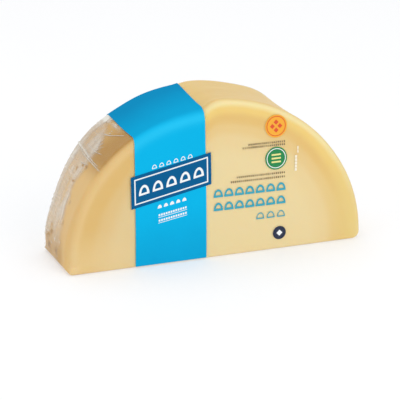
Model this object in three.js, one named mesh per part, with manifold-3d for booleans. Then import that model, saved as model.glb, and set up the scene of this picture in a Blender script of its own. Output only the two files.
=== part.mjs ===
// A half-moon of provolone, sealed in clear film that hugs the cheese, with a
// broad label band over the top and a name panel across the band's front.
//
// Millimetres, +Z up. The pack stands on its cut base at z = 0, X runs along
// that base, and the front face looks along -Y. Angles on the rim are in
// degrees about the arc's centre, from +X over the top to -X.

import * as THREE from "three";
import { mergeVertices } from "three/addons/utils/BufferGeometryUtils.js";
import Module from "manifold-3d";

// ---- Driving dimensions ----

const RADIUS = 100; // of the rind's arc
const CENTRE_HEIGHT = 4.3; // of the arc's centre above the base: a little over half a disc
const THICKNESS = 59; // front to back, at the crown of the two faces
const LEFT_HEEL = 4.4; // rounding of the outline where arc meets base
const RIGHT_HEEL = 6.1;
const RIM_EDGE = 4.2; // rounding between the rim and a face
const BASE_EDGE = 1.6; // rounding between the base and a face
const FACE_CROWN = 0.9; // how much lower a face is at its edge than in the middle
const FACE_CENTRE_HEIGHT = 42; // the point that the rings of a face close in on
const WAIST = 0.9; // how far the rim dips between its two edges

// Where the soft block departs from a true arc, each growing towards one face:
// by how much, at what angle, and how wide an angle it takes to fade before and after it.
const SWELLS = [
  { face: "front", by: 1.4, at: 8, before: 28, after: 28 }, // full right flank
  { face: "back", by: -1.7, at: 36, before: 15, after: 15 }, // sunk shoulder
  { face: "back", by: 1.7, at: 61, before: 8, after: 8 }, // hump beside it
  { face: "front", by: -5.4, at: 96, before: 4.5, after: 34 }, // pressed in by the tight band
  { face: "back", by: -1.2, at: 119, before: 9, after: 10 },
  { face: "back", by: -1.9, at: 157, before: 17, after: 17 }, // flat left flank
  { face: "back", by: 1.3, at: 173, before: 7, after: 5 }, // full left heel
];

// Where the edge between the rim and a face is rounder than elsewhere.
const ROUNDER_EDGES = [
  { by: 5, at: 97, before: 5, after: 17 }, // under the band
  { by: 6.5, at: 180, before: 18, after: 20 }, // left heel
];

// Film pleats across the rim, from the back edge forwards. `reach` is the y
// that a pleat fades out at, and `lean` how far its back end is turned along the rim.
const LEFT_GATHER = { from: 125.5, to: 181, count: 13, height: 0.35, seed: 3 };
const RIGHT_GATHER = { from: 3, to: 52, count: 9, height: 0.3, seed: 40 };
const LONG_PLEAT = { angle: 141.3, reach: -26, height: 0.8, lean: -3.3 };
const LONG_PLEAT_CLEARANCE = 2.4; // angle beside the long pleat that has no other pleat
const PLEAT_REACH = { least: 14, most: -6 };
const PLEAT_MAX_LEAN = 1.6;
const PLEAT_HALF_WIDTH = 1.15;
const PLEAT_VALLEY = 0.22; // share of a pleat's height that the film dips beside it
const PLEAT_RISE = 0.6; // share of a pleat's length that it grows to full height over

const BAND_LEFT_FOOT = -55; // the band's left edge leans a little: its x at the base
const BAND_LEFT_TOP = -54; // and at the rim
const BAND_RIGHT = -7.4;
const BAND_FOOT = 0.9; // lowest point of the band above the base
const LABEL_THICKNESS = 0.3;
const LABEL_GAP = 0.3; // between the film and the band, and between the band and the panel

const PANEL_LEFT = -57.3;
const PANEL_RIGHT = -4;
const PANEL_HEIGHT = 20.8;
const PANEL_CENTRE_HEIGHT = 55.1;
const PANEL_SLOPE = 0.2; // rise of its top and bottom edges along X

const CHEESE_COLOUR = 0xe8d39e;
const BAND_COLOUR = 0x11b4e8;
const PANEL_COLOUR = 0x10609f;

// ---- Mesh spacing ----

const ARC_STEP = 3.4; // degrees between columns where the rim has no pleats
const FINE_ARC = { from: 86, to: 100, step: 1.4 }; // where the rim dips steeply at the band's edge
const BASE_COLUMNS = 14;
const HEEL_COLUMNS = 5;
const FACE_SHARES = [0.4, 0.7, 0.88, 1]; // how far out each ring lies on its face
const EDGE_TILTS = [68, 45, 22]; // of each ring round the edge, from face to rim
const FRONT_ROWS = 3; // of the rim
const BACK_ROWS = 5;

const backEdge = THICKNESS / 2;
const faceEdge = backEdge - FACE_CROWN;

const radians = THREE.MathUtils.degToRad;
const degrees = THREE.MathUtils.radToDeg;
const mix = THREE.MathUtils.lerp;
const smooth = THREE.MathUtils.smoothstep;
const share = (value, from, to) => THREE.MathUtils.clamp((value - from) / (to - from), 0, 1);

// Evenly spaced values from a to b, without b.
const spread = (a, b, count) => Array.from({ length: count }, (_, i) => a + ((b - a) * i) / count);

// Repeatable scatter from 0 to 1, one number for each index.
const scatter = (index) => {
  const s = Math.sin(index * 12.9898) * 43758.5453;
  return s - Math.floor(s);
};

// ---- Film pleats ----

function gather({ from, to, count, height, seed }) {
  const pitch = (to - from) / count;
  return Array.from({ length: count }, (_, i) => ({
    angle: from + pitch * (i + 0.2 + 0.6 * scatter(seed + i)),
    reach: mix(PLEAT_REACH.most, PLEAT_REACH.least, scatter(seed + i + 0.31)),
    height: height * mix(0.55, 1.2, scatter(seed + i + 0.57)),
    lean: PLEAT_MAX_LEAN * mix(-1, 1, scatter(seed + i + 0.83)),
  }));
}

const isClearOfLongPleat = ({ angle, lean }) =>
  Math.max(angle, angle + lean) < LONG_PLEAT.angle + LONG_PLEAT.lean - LONG_PLEAT_CLEARANCE ||
  Math.min(angle, angle + lean) > LONG_PLEAT.angle + LONG_PLEAT_CLEARANCE;

const PLEATS = [
  ...gather(RIGHT_GATHER),
  ...gather(LEFT_GATHER).filter(isClearOfLongPleat),
  LONG_PLEAT,
].sort((a, b) => a.angle - b.angle);

// ---- Outline of the cut faces, seen from the front, anticlockwise ----

const heelX = (heel) => Math.sqrt((RADIUS - heel) ** 2 - (heel - CENTRE_HEIGHT) ** 2);
const heelAngle = (heel) => degrees(Math.atan2(heel - CENTRE_HEIGHT, heelX(heel)));

// The five columns over one pleat: the crest, a valley on each side, and where
// the film is level again.
function pleatColumns(pleat) {
  const step = degrees(PLEAT_HALF_WIDTH / RADIUS);
  const heights = [0, -PLEAT_VALLEY, 1, -PLEAT_VALLEY, 0];
  return heights.map((height, i) => {
    const angle = pleat.angle + (i - 2) * step;
    return { ...pleat, angle, height: pleat.height * height, onFace: height === 1 };
  });
}

// A flat column between two others, which leans as much as they do.
function columnBetween(a, b, angle) {
  const along = share(angle, a.angle, b.angle);
  const reach = mix(a.reach, b.reach, along);
  const lean = mix(a.lean, b.lean, along);
  return { angle, height: 0, reach, lean, onFace: true };
}

// Evenly stepped angles between a and b, closer together within the fine arc.
function anglesBetween(a, b) {
  const steps = (from, to, step) => spread(from, to, Math.max(1, Math.round((to - from) / step)));
  const { from, to, step } = FINE_ARC;
  if (a > from || b < to) return steps(a, b, ARC_STEP).slice(1);
  return [...steps(a, from, ARC_STEP), ...steps(from, to, step), ...steps(to, b, ARC_STEP)].slice(1);
}

// Columns of the arc: five over each pleat, and flat ones between the pleats.
function arcColumns(pleats) {
  const still = { height: 0, reach: 0, lean: 0, onFace: true };
  const end = { ...still, angle: 180 - heelAngle(LEFT_HEEL) };
  const columns = [{ ...still, angle: heelAngle(RIGHT_HEEL) }];
  const fillTo = (next) => {
    const from = columns.at(-1);
    const angles = anglesBetween(from.angle, next.angle);
    columns.push(...angles.map((angle) => columnBetween(from, next, angle)));
  };
  for (const pleat of pleats) {
    const over = pleatColumns(pleat).filter(({ angle }) => angle < end.angle);
    fillTo(over[0]);
    columns.push(...over);
  }
  fillTo(end);
  return columns.map((column) => ({ ...column, normal: column.angle }));
}

function heelColumn(side, heel, angle, i) {
  const x = side * heelX(heel) + heel * Math.cos(radians(angle));
  const z = heel + heel * Math.sin(radians(angle));
  return { x, z, normal: angle, onFace: i === Math.floor(HEEL_COLUMNS / 2) };
}

// Columns of the mesh all the way round. Those of the base and the heels have
// an x and a z, and those of the arc have an angle.
function outline(pleats) {
  const base = spread(-heelX(LEFT_HEEL), heelX(RIGHT_HEEL), BASE_COLUMNS);
  const right = spread(-90, heelAngle(RIGHT_HEEL), HEEL_COLUMNS);
  const left = spread(180 - heelAngle(LEFT_HEEL), 270, HEEL_COLUMNS);
  return [
    ...base.map((x) => ({ x, z: 0, normal: -90, onFace: true })),
    ...right.map((angle, i) => heelColumn(1, RIGHT_HEEL, angle, i)),
    ...arcColumns(pleats),
    ...left.map((angle, i) => heelColumn(-1, LEFT_HEEL, angle, i)),
  ];
}

// ---- The pack's surface ----

// A smooth rise and fall along the rim: its height at an angle.
const bell = (angle, { by, at, before, after }) =>
  by * Math.exp(-(((angle - at) / (angle < at ? before : after)) ** 2));

// How far the rim stands out from a true arc, at an angle and a y.
function rimRelief(angle, y) {
  const back = y / backEdge;
  const towards = { front: 1 - smooth(back, -1, 1), back: smooth(back, -1, 1) };
  const waist = WAIST * Math.sin(radians(angle)) * (1 - back ** 2);
  return SWELLS.reduce((sum, one) => sum + towards[one.face] * bell(angle, one), -waist);
}

// A point of the outline as it is at depth y, before the edges are rounded. A
// column of the base or a heel moves in and out with the arc's nearer end.
function outlinePoint(column, y, grow) {
  const out = radians(column.normal);
  if (column.angle === undefined) {
    const stretch = 1 + rimRelief(column.x > 0 ? 0 : 180, y) / RADIUS;
    return { x: column.x * stretch + grow * Math.cos(out), z: column.z + grow * Math.sin(out) };
  }
  const angle = column.angle + column.lean * share(y, column.reach, backEdge);
  const raised = column.height * smooth(y, column.reach, mix(column.reach, backEdge, PLEAT_RISE));
  const r = RADIUS + rimRelief(angle, y) + raised + grow;
  return { x: r * Math.cos(radians(angle)), z: CENTRE_HEIGHT + r * Math.sin(radians(angle)) };
}

// Edge rounding at a column: small round the base, larger round the rim.
function edgeAt({ normal }) {
  const angle = Math.min(normal, 180);
  const rimEdge = ROUNDER_EDGES.reduce((sum, one) => sum + bell(angle, one), RIM_EDGE);
  return mix(BASE_EDGE, rimEdge, smooth(Math.sin(radians(normal)), -0.9, 0.25));
}

// Rings of the mesh from the front face to the back face. `tilt` is how far the
// surface is turned from the rim to the face, and `across` how far a ring of the
// rim lies from its middle, where -1 is its front and 1 its back.
function stations() {
  const side = (sign) => [
    ...FACE_SHARES.map((out) => ({ across: sign, tilt: 90, out })),
    ...EDGE_TILTS.map((tilt) => ({ across: sign, tilt, out: 1 })),
  ];
  const rim = [...spread(-1, 0, FRONT_ROWS), ...spread(0, 1, BACK_ROWS), 1];
  return [...side(-1), ...rim.map((across) => ({ across, tilt: 0, out: 1 })), ...side(1).reverse()];
}

function ringPoint(column, station, grow) {
  const edge = edgeAt(column);
  const tilt = radians(station.tilt);
  const y = station.across * (faceEdge - edge * (1 - Math.sin(tilt)));
  const rim = outlinePoint(column, y, grow);
  const inward = new THREE.Vector2(-rim.x, FACE_CENTRE_HEIGHT - rim.z).normalize();
  const outward = new THREE.Vector2(Math.cos(radians(column.normal)), Math.sin(radians(column.normal)));
  const squareOn = Math.max(0.35, -inward.dot(outward));
  const inset = (edge * (1 - Math.cos(tilt))) / squareOn;
  const x = (rim.x + inward.x * inset) * station.out;
  const z = mix(FACE_CENTRE_HEIGHT, rim.z + inward.y * inset, station.out);
  const crown = FACE_CROWN * (1 - station.out ** 2);
  return [x, y + Math.sign(y) * (crown + grow * Math.sin(tilt)), z];
}

// Triangles between two rings that have the same columns, where a ring has null
// for a column that it skips.
function zip(a, b) {
  const next = (ring, i) => {
    let to = i + 1;
    while (ring[to % ring.length] === null) to++;
    return to;
  };
  const at = (ring, i) => ring[i % ring.length];
  const triangles = [];
  let i = 0;
  let j = 0;
  while (i < a.length || j < b.length) {
    const nextI = next(a, i);
    const nextJ = next(b, j);
    if (nextJ <= nextI) {
      triangles.push([at(a, i), at(b, j), at(b, nextJ)]);
      j = nextJ;
    } else {
      triangles.push([at(a, i), at(b, j), at(a, nextI)]);
      i = nextI;
    }
  }
  return triangles.filter((corners) => new Set(corners).size === 3).flat();
}

// The closed surface of the pack, grown outwards by `grow`. A ring inside a
// face has only the columns marked onFace, so triangles there aren't slivers.
function packGeometry(grow, pleats = PLEATS) {
  const columns = outline(pleats);
  const positions = [];
  const addPoint = (point) => positions.push(...point) / 3 - 1;
  const addRing = (station) =>
    columns.map((column) =>
      station.out < 1 && !column.onFace ? null : addPoint(ringPoint(column, station, grow)),
    );
  const addMiddle = (y) => new Array(columns.length).fill(addPoint([0, y, FACE_CENTRE_HEIGHT]));
  const rings = [addMiddle(-backEdge - grow), ...stations().map(addRing), addMiddle(backEdge + grow)];
  const index = rings.slice(1).flatMap((ring, i) => zip(rings[i], ring));

  const geometry = new THREE.BufferGeometry();
  geometry.setAttribute("position", new THREE.Float32BufferAttribute(positions, 3));
  geometry.setIndex(index);
  geometry.computeVertexNormals();
  return geometry;
}

// ---- Cutting and joining ----

const wasm = await Module();
wasm.setup();

function toSolid(geometry) {
  const bare = geometry.clone();
  bare.deleteAttribute("normal");
  bare.deleteAttribute("uv");
  const merged = mergeVertices(bare, 1e-4);
  return new wasm.Manifold(
    new wasm.Mesh({
      numProp: 3,
      vertProperties: new Float32Array(merged.attributes.position.array),
      triVerts: new Uint32Array(merged.index.array),
    }),
  );
}

function toGeometry(solid) {
  const mesh = solid.getMesh();
  const geometry = new THREE.BufferGeometry();
  geometry.setAttribute("position", new THREE.BufferAttribute(mesh.vertProperties, 3));
  geometry.setIndex(new THREE.BufferAttribute(mesh.triVerts, 1));
  geometry.computeVertexNormals();
  return geometry;
}

// ---- The label: two skins over the film, cut to the band and to the panel ----

// A skin of the label's thickness, with as many layers of label under it. No
// pleat runs under the label, so the skins have none.
function skin(layer) {
  const inner = LABEL_GAP + layer * (LABEL_THICKNESS + LABEL_GAP);
  const outside = toSolid(packGeometry(inner + LABEL_THICKNESS, []));
  return outside.subtract(toSolid(packGeometry(inner, [])));
}

// A four-sided prism through the pack, from y = `back` forwards, its corners
// given as x and z.
function prism(corners, back) {
  const shape = new THREE.Shape(corners.map(([x, z]) => new THREE.Vector2(x, z)));
  const geometry = new THREE.ExtrudeGeometry(shape, { depth: back + THICKNESS, bevelEnabled: false });
  return toSolid(geometry.rotateX(Math.PI / 2).translate(0, back, 0));
}

function bandSolid() {
  const rimHeight = CENTRE_HEIGHT + Math.sqrt(RADIUS ** 2 - BAND_LEFT_TOP ** 2);
  const lean = (BAND_LEFT_TOP - BAND_LEFT_FOOT) / (rimHeight - BAND_FOOT);
  const top = RADIUS * 1.5;
  const corners = [
    [BAND_LEFT_FOOT, BAND_FOOT],
    [BAND_RIGHT, BAND_FOOT],
    [BAND_RIGHT, top],
    [BAND_LEFT_FOOT + lean * (top - BAND_FOOT), top],
  ];
  return skin(0).intersect(prism(corners, THICKNESS));
}

function panelSolid() {
  const middle = (PANEL_LEFT + PANEL_RIGHT) / 2;
  const height = (x, side) => PANEL_CENTRE_HEIGHT + PANEL_SLOPE * (x - middle) + (side * PANEL_HEIGHT) / 2;
  const corners = [
    [PANEL_LEFT, height(PANEL_LEFT, -1)],
    [PANEL_RIGHT, height(PANEL_RIGHT, -1)],
    [PANEL_RIGHT, height(PANEL_RIGHT, 1)],
    [PANEL_LEFT, height(PANEL_LEFT, 1)],
  ];
  return skin(1).intersect(prism(corners, 0));
}

// ---- Assembly ----

function named(name, geometry, color, roughness) {
  const material = new THREE.MeshStandardMaterial({ color, roughness, metalness: 0 });
  const mesh = new THREE.Mesh(geometry, material);
  mesh.name = name;
  return mesh;
}

const pack = new THREE.Group();
pack.name = "provolone_pack";
pack.add(
  named("sealed_cheese", packGeometry(0), CHEESE_COLOUR, 0.35),
  named("band_label", toGeometry(bandSolid()), BAND_COLOUR, 0.3),
  named("name_panel", toGeometry(panelSolid()), PANEL_COLOUR, 0.3),
);

// The origin is the middle of the base.
const bounds = new THREE.Box3().setFromObject(pack);
const centre = bounds.getCenter(new THREE.Vector3());
pack.position.set(-centre.x, -centre.y, -bounds.min.z);

export default pack;
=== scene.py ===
"""A half-moon of provolone in clear shrink film, with its band, name panel and print.

Metres, +Z up. The pack stands on its cut base and its front face looks along -Y.
A place on the rim is an angle in degrees about the arc's centre, from +X over the
top to -X, and a depth: the y from the middle of the pack.
"""

import math

import bmesh
import bpy
import numpy as np
from bpy.props import FloatProperty, FloatVectorProperty, IntProperty, PointerProperty
from mathutils import Matrix, Vector, noise
from mathutils.bvhtree import BVHTree


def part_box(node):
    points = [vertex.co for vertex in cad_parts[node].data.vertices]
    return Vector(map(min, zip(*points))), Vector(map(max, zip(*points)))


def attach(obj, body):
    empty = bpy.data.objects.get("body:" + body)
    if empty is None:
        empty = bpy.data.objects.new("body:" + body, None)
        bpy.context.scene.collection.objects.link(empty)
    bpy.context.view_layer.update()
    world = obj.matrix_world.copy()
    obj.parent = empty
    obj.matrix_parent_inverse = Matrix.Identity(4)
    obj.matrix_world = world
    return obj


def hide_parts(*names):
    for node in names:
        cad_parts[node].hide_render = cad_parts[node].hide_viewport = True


bl_info = {
    "name": "Provolone Half-Moon",
    "version": (1, 0, 0),
    "blender": (4, 5, 0),
    "location": "View3D > Sidebar > Cheese",
    "description": "Builds a film-wrapped half-moon of provolone round its packed solids",
    "category": "Add Mesh",
}

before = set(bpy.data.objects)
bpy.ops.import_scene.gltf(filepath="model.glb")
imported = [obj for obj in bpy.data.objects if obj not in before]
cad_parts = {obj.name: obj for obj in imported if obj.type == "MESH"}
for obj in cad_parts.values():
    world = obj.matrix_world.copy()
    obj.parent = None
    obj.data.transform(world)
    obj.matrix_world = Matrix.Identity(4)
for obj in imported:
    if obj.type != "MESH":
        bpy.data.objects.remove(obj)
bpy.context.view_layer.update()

MM = 0.001
BODY = "root"

cheese_low, cheese_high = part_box("sealed_cheese")
band_low, band_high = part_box("band_label")
panel_low, panel_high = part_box("name_panel")

BAND_RIGHT_OF_CENTRE = -7.4 * MM  # of the arc's centre, to the band's right edge
CENTRE_X = band_high.x - BAND_RIGHT_OF_CENTRE
MIDDLE_Y = (cheese_low.y + cheese_high.y) / 2
THICKNESS = cheese_high.y - cheese_low.y

# Where the soft block departs from a true arc: the face it grows towards, by how
# much, at what angle, and how wide an angle it takes to fade before and after it.
SWELLS = {
    "Right Flank Swell": ("front", 1.4 * MM, 8, 28, 28),
    "Right Shoulder Dip": ("back", -1.7 * MM, 36, 15, 15),
    "Right Shoulder Hump": ("back", 1.7 * MM, 61, 8, 8),
    "Band Dent Front": ("front", -5.4 * MM, 96, 4.5, 34),
    "Band Dent Back": ("back", -1.2 * MM, 119, 9, 10),
    "Left Flank Dip": ("back", -1.9 * MM, 157, 17, 17),
    "Left Heel Swell": ("back", 1.3 * MM, 173, 7, 5),
}
# Where the edge between the rim and a face is rounder: by how much, and the same angles.
ROUNDER_EDGES = {
    "Band Rounding": (5 * MM, 97, 5, 17),
    "Left Heel Rounding": (6.5 * MM, 180, 18, 20),
}


# ---- Settings ----


def length(name, text, metres):
    return FloatProperty(
        name=name, description=text, default=metres, subtype="DISTANCE", unit="LENGTH", precision=5
    )


def share(name, text, value):
    return FloatProperty(name=name, description=text, default=value, min=0, max=1, subtype="FACTOR")


def degrees(name, text, value):
    return FloatProperty(
        name=name, description=text, default=math.radians(value), subtype="ANGLE", unit="ROTATION"
    )


def number(name, text, value):
    return FloatProperty(name=name, description=text, default=value)


def linear(level):
    """One channel of a screen colour, 0 to 255, as scene light."""
    level /= 255
    return level / 12.92 if level <= 0.04045 else ((level + 0.055) / 1.055) ** 2.4


def colour(name, text, *levels):
    return FloatVectorProperty(
        name=name,
        description=text,
        default=[linear(level) for level in levels],
        size=3,
        min=0,
        max=1,
        subtype="COLOR",
    )


class BlockSettings(bpy.types.PropertyGroup):
    """Sizes of the half-moon block."""

    radius: length("Radius", "Radius of the rind's arc", 100 * MM)
    centre_height: length("Centre Height", "Height of the arc's centre", 4.3 * MM)
    thickness: length("Thickness", "Front to back", THICKNESS)
    left_heel: length("Left Heel", "Rounding where arc meets base on the left", 4.4 * MM)
    right_heel: length("Right Heel", "Rounding where arc meets base on the right", 6.1 * MM)
    rim_rounding: length("Rim Rounding", "Rounding between rim and face", 4.2 * MM)
    base_rounding: length("Base Rounding", "Rounding between base and face", 1.6 * MM)
    crown: length("Face Crown", "How far a face bulges in the middle", 0.9 * MM)
    face_middle: length("Face Middle", "Height of the middle of a face's bulge", 42 * MM)
    waist: length("Waist", "Dip of the rim between its edges", 0.9 * MM)
    unevenness: length("Unevenness", "Slow waves of the soft surface", 0.22 * MM)
    seed: IntProperty(name="Seed", description="Picks the waves", default=4)


class FilmSettings(bpy.types.PropertyGroup):
    """Sizes of the shrink film."""

    gap: length("Gap", "From the cheese to the film", 0.35 * MM)
    left_gather: length("Left Gather", "Height of the pleats on the left flank", 0.35 * MM)
    right_gather: length("Right Gather", "Height of the pleats on the right flank", 0.3 * MM)
    long_pleat: length("Long Pleat", "Height of the long pleat", 0.8 * MM)
    pleat_width: length("Pleat Width", "Half the width of a pleat", 1.15 * MM)
    seam: length("Seam", "Height of the seam on the left flank", 0.4 * MM)
    crumple: length("Crumple", "Depth of the fine crumples", 0.3 * MM)
    fold_width: length("Fold Width", "Width of a folded tuck", 0.6 * MM)
    fold_height: length("Fold Height", "Height of a folded tuck", 0.14 * MM)
    # milky gathered film, partly a painted reflection of the light on the flanks
    haze: share("Haze", "How milky the gathered film is", 0.55)
    clear: share("Clear", "How much the smooth film shows", 0.03)
    # painted highlight: the film's tight back edge right of the band catching the light
    back_line: share("Back Line", "How milky the right back edge is", 0.75)


class LabelSettings(bpy.types.PropertyGroup):
    """Sizes of the band and the panel."""

    lift: length("Lift", "From the film to the band", 0.08 * MM)
    thickness: length("Thickness", "Of the band and of the panel", 0.22 * MM)
    foot: length("Foot", "From the base to the band's ends", 0.9 * MM)
    lean: length("Lean", "How far the band's left edge leans right at the top", 1.0 * MM)
    slope: number("Slope", "Rise of the panel's edges along X", 0.2)
    ink: length("Ink", "Thickness of the printing ink", 0.05 * MM)


class PackColours(bpy.types.PropertyGroup):
    """Colours of the cheese, the film, the labels and the ink."""

    rind: colour("Rind", "Outer skin on the rim", 220, 187, 118)
    rind_stripe: colour("Rind Stripe", "Lighter stripes along the rim", 227, 196, 129)
    left_rind: colour("Left Rind", "Outer skin on the left flank", 220, 182, 118)
    # painted shade: a darker rind where less light falls, beside the band and low on the left flank
    painted_shade_rind: colour("Shaded Rind", "Darker rind beside the band and at the left heel", 176, 132, 64)
    # painted highlight: the pale line where a face's rounded edge catches the light
    edge: colour("Edge", "Pale line round a face", 241, 230, 178)
    zone: colour("Zone", "Yellow zone inside the edge", 238, 206, 121)
    low_zone: colour("Low Zone", "The same zone low on the right", 229, 203, 131)
    left_low: colour("Left Low", "Foot of the cut face left of the band", 233, 206, 150)
    gold: colour("Gold", "Golden zone near the rind", 228, 190, 115)
    paste: colour("Paste", "Middle of the cut face", 234, 213, 160)
    left_edge: colour("Left Edge", "Edge of a face on the left flank", 218, 181, 118)
    left_zone: colour("Left Zone", "Light zone inside the left edge", 226, 192, 130)
    left_gold: colour("Left Gold", "Golden zone on the left flank", 221, 183, 112)
    left_paste: colour("Left Paste", "Cut face left of the band", 225, 199, 145)
    # milky gathered film, partly a painted reflection of the light on the flanks
    haze: colour("Haze", "Gathered film", 231, 226, 215)
    fold: colour("Fold", "Film folded many times", 234, 232, 222)
    crumple: colour("Crumple", "Shaded hollows of crumpled film", 158, 110, 44)
    band: colour("Band", "Bright blue label band", 16, 180, 230)
    # painted shade: the band over the rim, where less light falls; it also darkens the band towards its
    # foot
    band_painted_shade: colour("Band Shade", "Deeper blue over the rim and at the foot", 20, 138, 188)
    # painted highlight along the band's rounded front edge
    band_painted_highlight: colour("Band Light", "Lighter blue along the front edge", 46, 198, 243)
    panel: colour("Panel", "Dark blue name panel", 18, 93, 143)
    white: colour("White", "White ink", 246, 249, 250)
    teal: colour("Teal", "Blue-green ink", 50, 165, 188)
    grey: colour("Grey", "Fine grey-brown ink", 124, 106, 78)
    orange: colour("Orange", "Ground of the warm seal", 248, 176, 52)
    red: colour("Red", "Ring and lozenges of the warm seal", 226, 84, 44)
    green: colour("Green", "Ground of the green seal", 26, 134, 74)
    lemon: colour("Lemon", "Bars of the green seal", 236, 232, 150)
    navy: colour("Navy", "Small round mark", 34, 44, 70)
    cream: colour("Cream", "Small upright line of print", 250, 242, 220)
    floor: colour("Floor", "Studio floor", 198, 199, 201)
    floor_glow: colour("Floor Glow", "Light that the bright floor gives off", 255, 255, 255)


class StudioSettings(bpy.types.PropertyGroup):
    """Camera and light."""

    azimuth: degrees("Azimuth", "Of the camera, round from the front", -20.273)
    elevation: degrees("Elevation", "Of the camera, above the target", 17.043)
    roll: degrees("Roll", "Turn of the camera about its own axis", 0.578)
    tilt: degrees("Tilt", "How far under the target the camera looks", 0.859)
    pan: degrees("Pan", "How far left of the target the camera looks", 0.022)
    distance: length("Distance", "From the camera to the target", 1.270)
    target_height: length("Target Height", "Of the point that the camera turns round", 50 * MM)
    lens: number("Lens", "Focal length in millimetres on a 36 mm sensor", 176.9)
    key: number("Key", "Power of the front softbox, in watts", 3.2)
    fill: number("Fill", "Power of the left softbox, in watts", 0.8)
    top: number("Top", "Power of the overhead softbox, in watts", 2.4)
    sky: number("Sky", "Strength of the white surroundings", 0.86)
    floor_glow: number("Floor Glow", "Strength of the light that the floor gives off", 0.42)


SETTINGS = {
    "half_moon_block": BlockSettings,
    "half_moon_film": FilmSettings,
    "half_moon_label": LabelSettings,
    "half_moon_colours": PackColours,
    "half_moon_studio": StudioSettings,
}


# ---- Node trees ----

SKIN_WELD = 0.004 * MM  # points of a skin nearer to each other than this become one
INK_WELD = 0.002 * MM  # the same for a printed shape


class Term:
    """What comes out of a node. Arithmetic on it adds Math nodes to its tree."""

    def __init__(self, graph, socket):
        self.graph = graph
        self.socket = socket

    def __add__(self, other):
        return self.graph.maths("ADD", self, other)

    def __sub__(self, other):
        return self.graph.maths("SUBTRACT", self, other)

    def __rsub__(self, other):
        return self.graph.maths("SUBTRACT", other, self)

    def __mul__(self, other):
        return self.graph.maths("MULTIPLY", self, other)

    def __truediv__(self, other):
        return self.graph.maths("DIVIDE", self, other)

    def __pow__(self, other):
        return self.graph.maths("POWER", self, other)

    def __neg__(self):
        return self.graph.maths("SUBTRACT", 0.0, self)

    __radd__ = __add__
    __rmul__ = __mul__


class Graph:
    """Short calls for building one node tree."""

    def __init__(self, tree):
        self.tree = tree

    def feed(self, socket, value):
        if isinstance(value, Term):
            self.tree.links.new(value.socket, socket)
        elif socket.type == "RGBA" and len(value) == 3:
            socket.default_value = (*value, 1)
        else:
            socket.default_value = value

    def add(self, kind, inputs=(), out=0, **settings):
        made = self.tree.nodes.new(kind)
        for name, value in settings.items():
            setattr(made, name, value)
        for name, value in dict(inputs).items():
            self.feed(made.inputs[name], value)
        return Term(self, made.outputs[out]) if made.outputs else made

    def maths(self, operation, *values):
        return self.add("ShaderNodeMath", enumerate(values), operation=operation)

    def sin(self, angle):
        return self.maths("SINE", angle)

    def cos(self, angle):
        return self.maths("COSINE", angle)

    def root(self, value):
        return self.maths("SQRT", value)

    def clamp(self, value, low=0.0, high=1.0):
        return self.add("ShaderNodeClamp", {"Value": value, "Min": low, "Max": high})

    def smooth(self, value, low, high):
        """Rises smoothly from 0 to 1 as the value goes from low to high."""
        inputs = {"Value": value, "From Min": low, "From Max": high}
        return self.add("ShaderNodeMapRange", inputs, interpolation_type="SMOOTHSTEP")

    def bell(self, value, middle, before, after=None):
        """1 where the value is at the middle, fading over one width below it and one above it."""
        width = before
        if after not in (None, before):
            width = self.maths("GREATER_THAN", value, middle) * (after - before) + before
        away = (value - middle) / width
        return self.maths("EXPONENT", -(away * away))

    def vector(self, x, y, z):
        return self.add("ShaderNodeCombineXYZ", {"X": x, "Y": y, "Z": z})

    def split(self, vector):
        parts = self.add("ShaderNodeSeparateXYZ", {"Vector": vector}).socket.node
        return [Term(self, parts.outputs[axis]) for axis in "XYZ"]

    def noise(self, vector, scale, detail=2.0, roughness=0.5, seed=0.0):
        inputs = {"Vector": vector, "W": seed, "Scale": scale, "Detail": detail, "Roughness": roughness}
        return self.add("ShaderNodeTexNoise", inputs, noise_dimensions="4D")

    def blend(self, share_of, first, second):
        """A colour that goes from the first to the second."""
        made = self.tree.nodes.new("ShaderNodeMix")
        made.data_type = "RGBA"
        for key, value in (("Factor_Float", share_of), ("A_Color", first), ("B_Color", second)):
            self.feed(next(s for s in made.inputs if s.identifier == key), value)
        return Term(self, next(s for s in made.outputs if s.identifier == "Result_Color"))


class ShapeTree(Graph):
    """A Geometry Nodes tree with named inputs, which ends in real mesh with its material."""

    KINDS = {float: "NodeSocketFloat", int: "NodeSocketInt", tuple: "NodeSocketVector"}

    def __init__(self, name, sizes):
        super().__init__(bpy.data.node_groups.new(name, "GeometryNodeTree"))
        face = self.tree.interface
        face.new_socket(name="Geometry", in_out="INPUT", socket_type="NodeSocketGeometry")
        face.new_socket(name="Geometry", in_out="OUTPUT", socket_type="NodeSocketGeometry")
        for size, value in sizes.items():
            socket = face.new_socket(name=size, in_out="INPUT", socket_type=self.KINDS[type(value)])
            socket.default_value = value
        face.new_socket(name="Material", in_out="INPUT", socket_type="NodeSocketMaterial")
        self.entry = self.tree.nodes.new("NodeGroupInput")

    def __getitem__(self, name):
        return Term(self, self.entry.outputs[name])

    def finish(self, geometry):
        real = self.add("GeometryNodeRealizeInstances", {"Geometry": geometry})
        dressed = self.add("GeometryNodeSetMaterial", {"Geometry": real, "Material": self["Material"]})
        exit_node = self.tree.nodes.new("NodeGroupOutput")
        self.feed(exit_node.inputs["Geometry"], dressed)
        return self.tree


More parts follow.
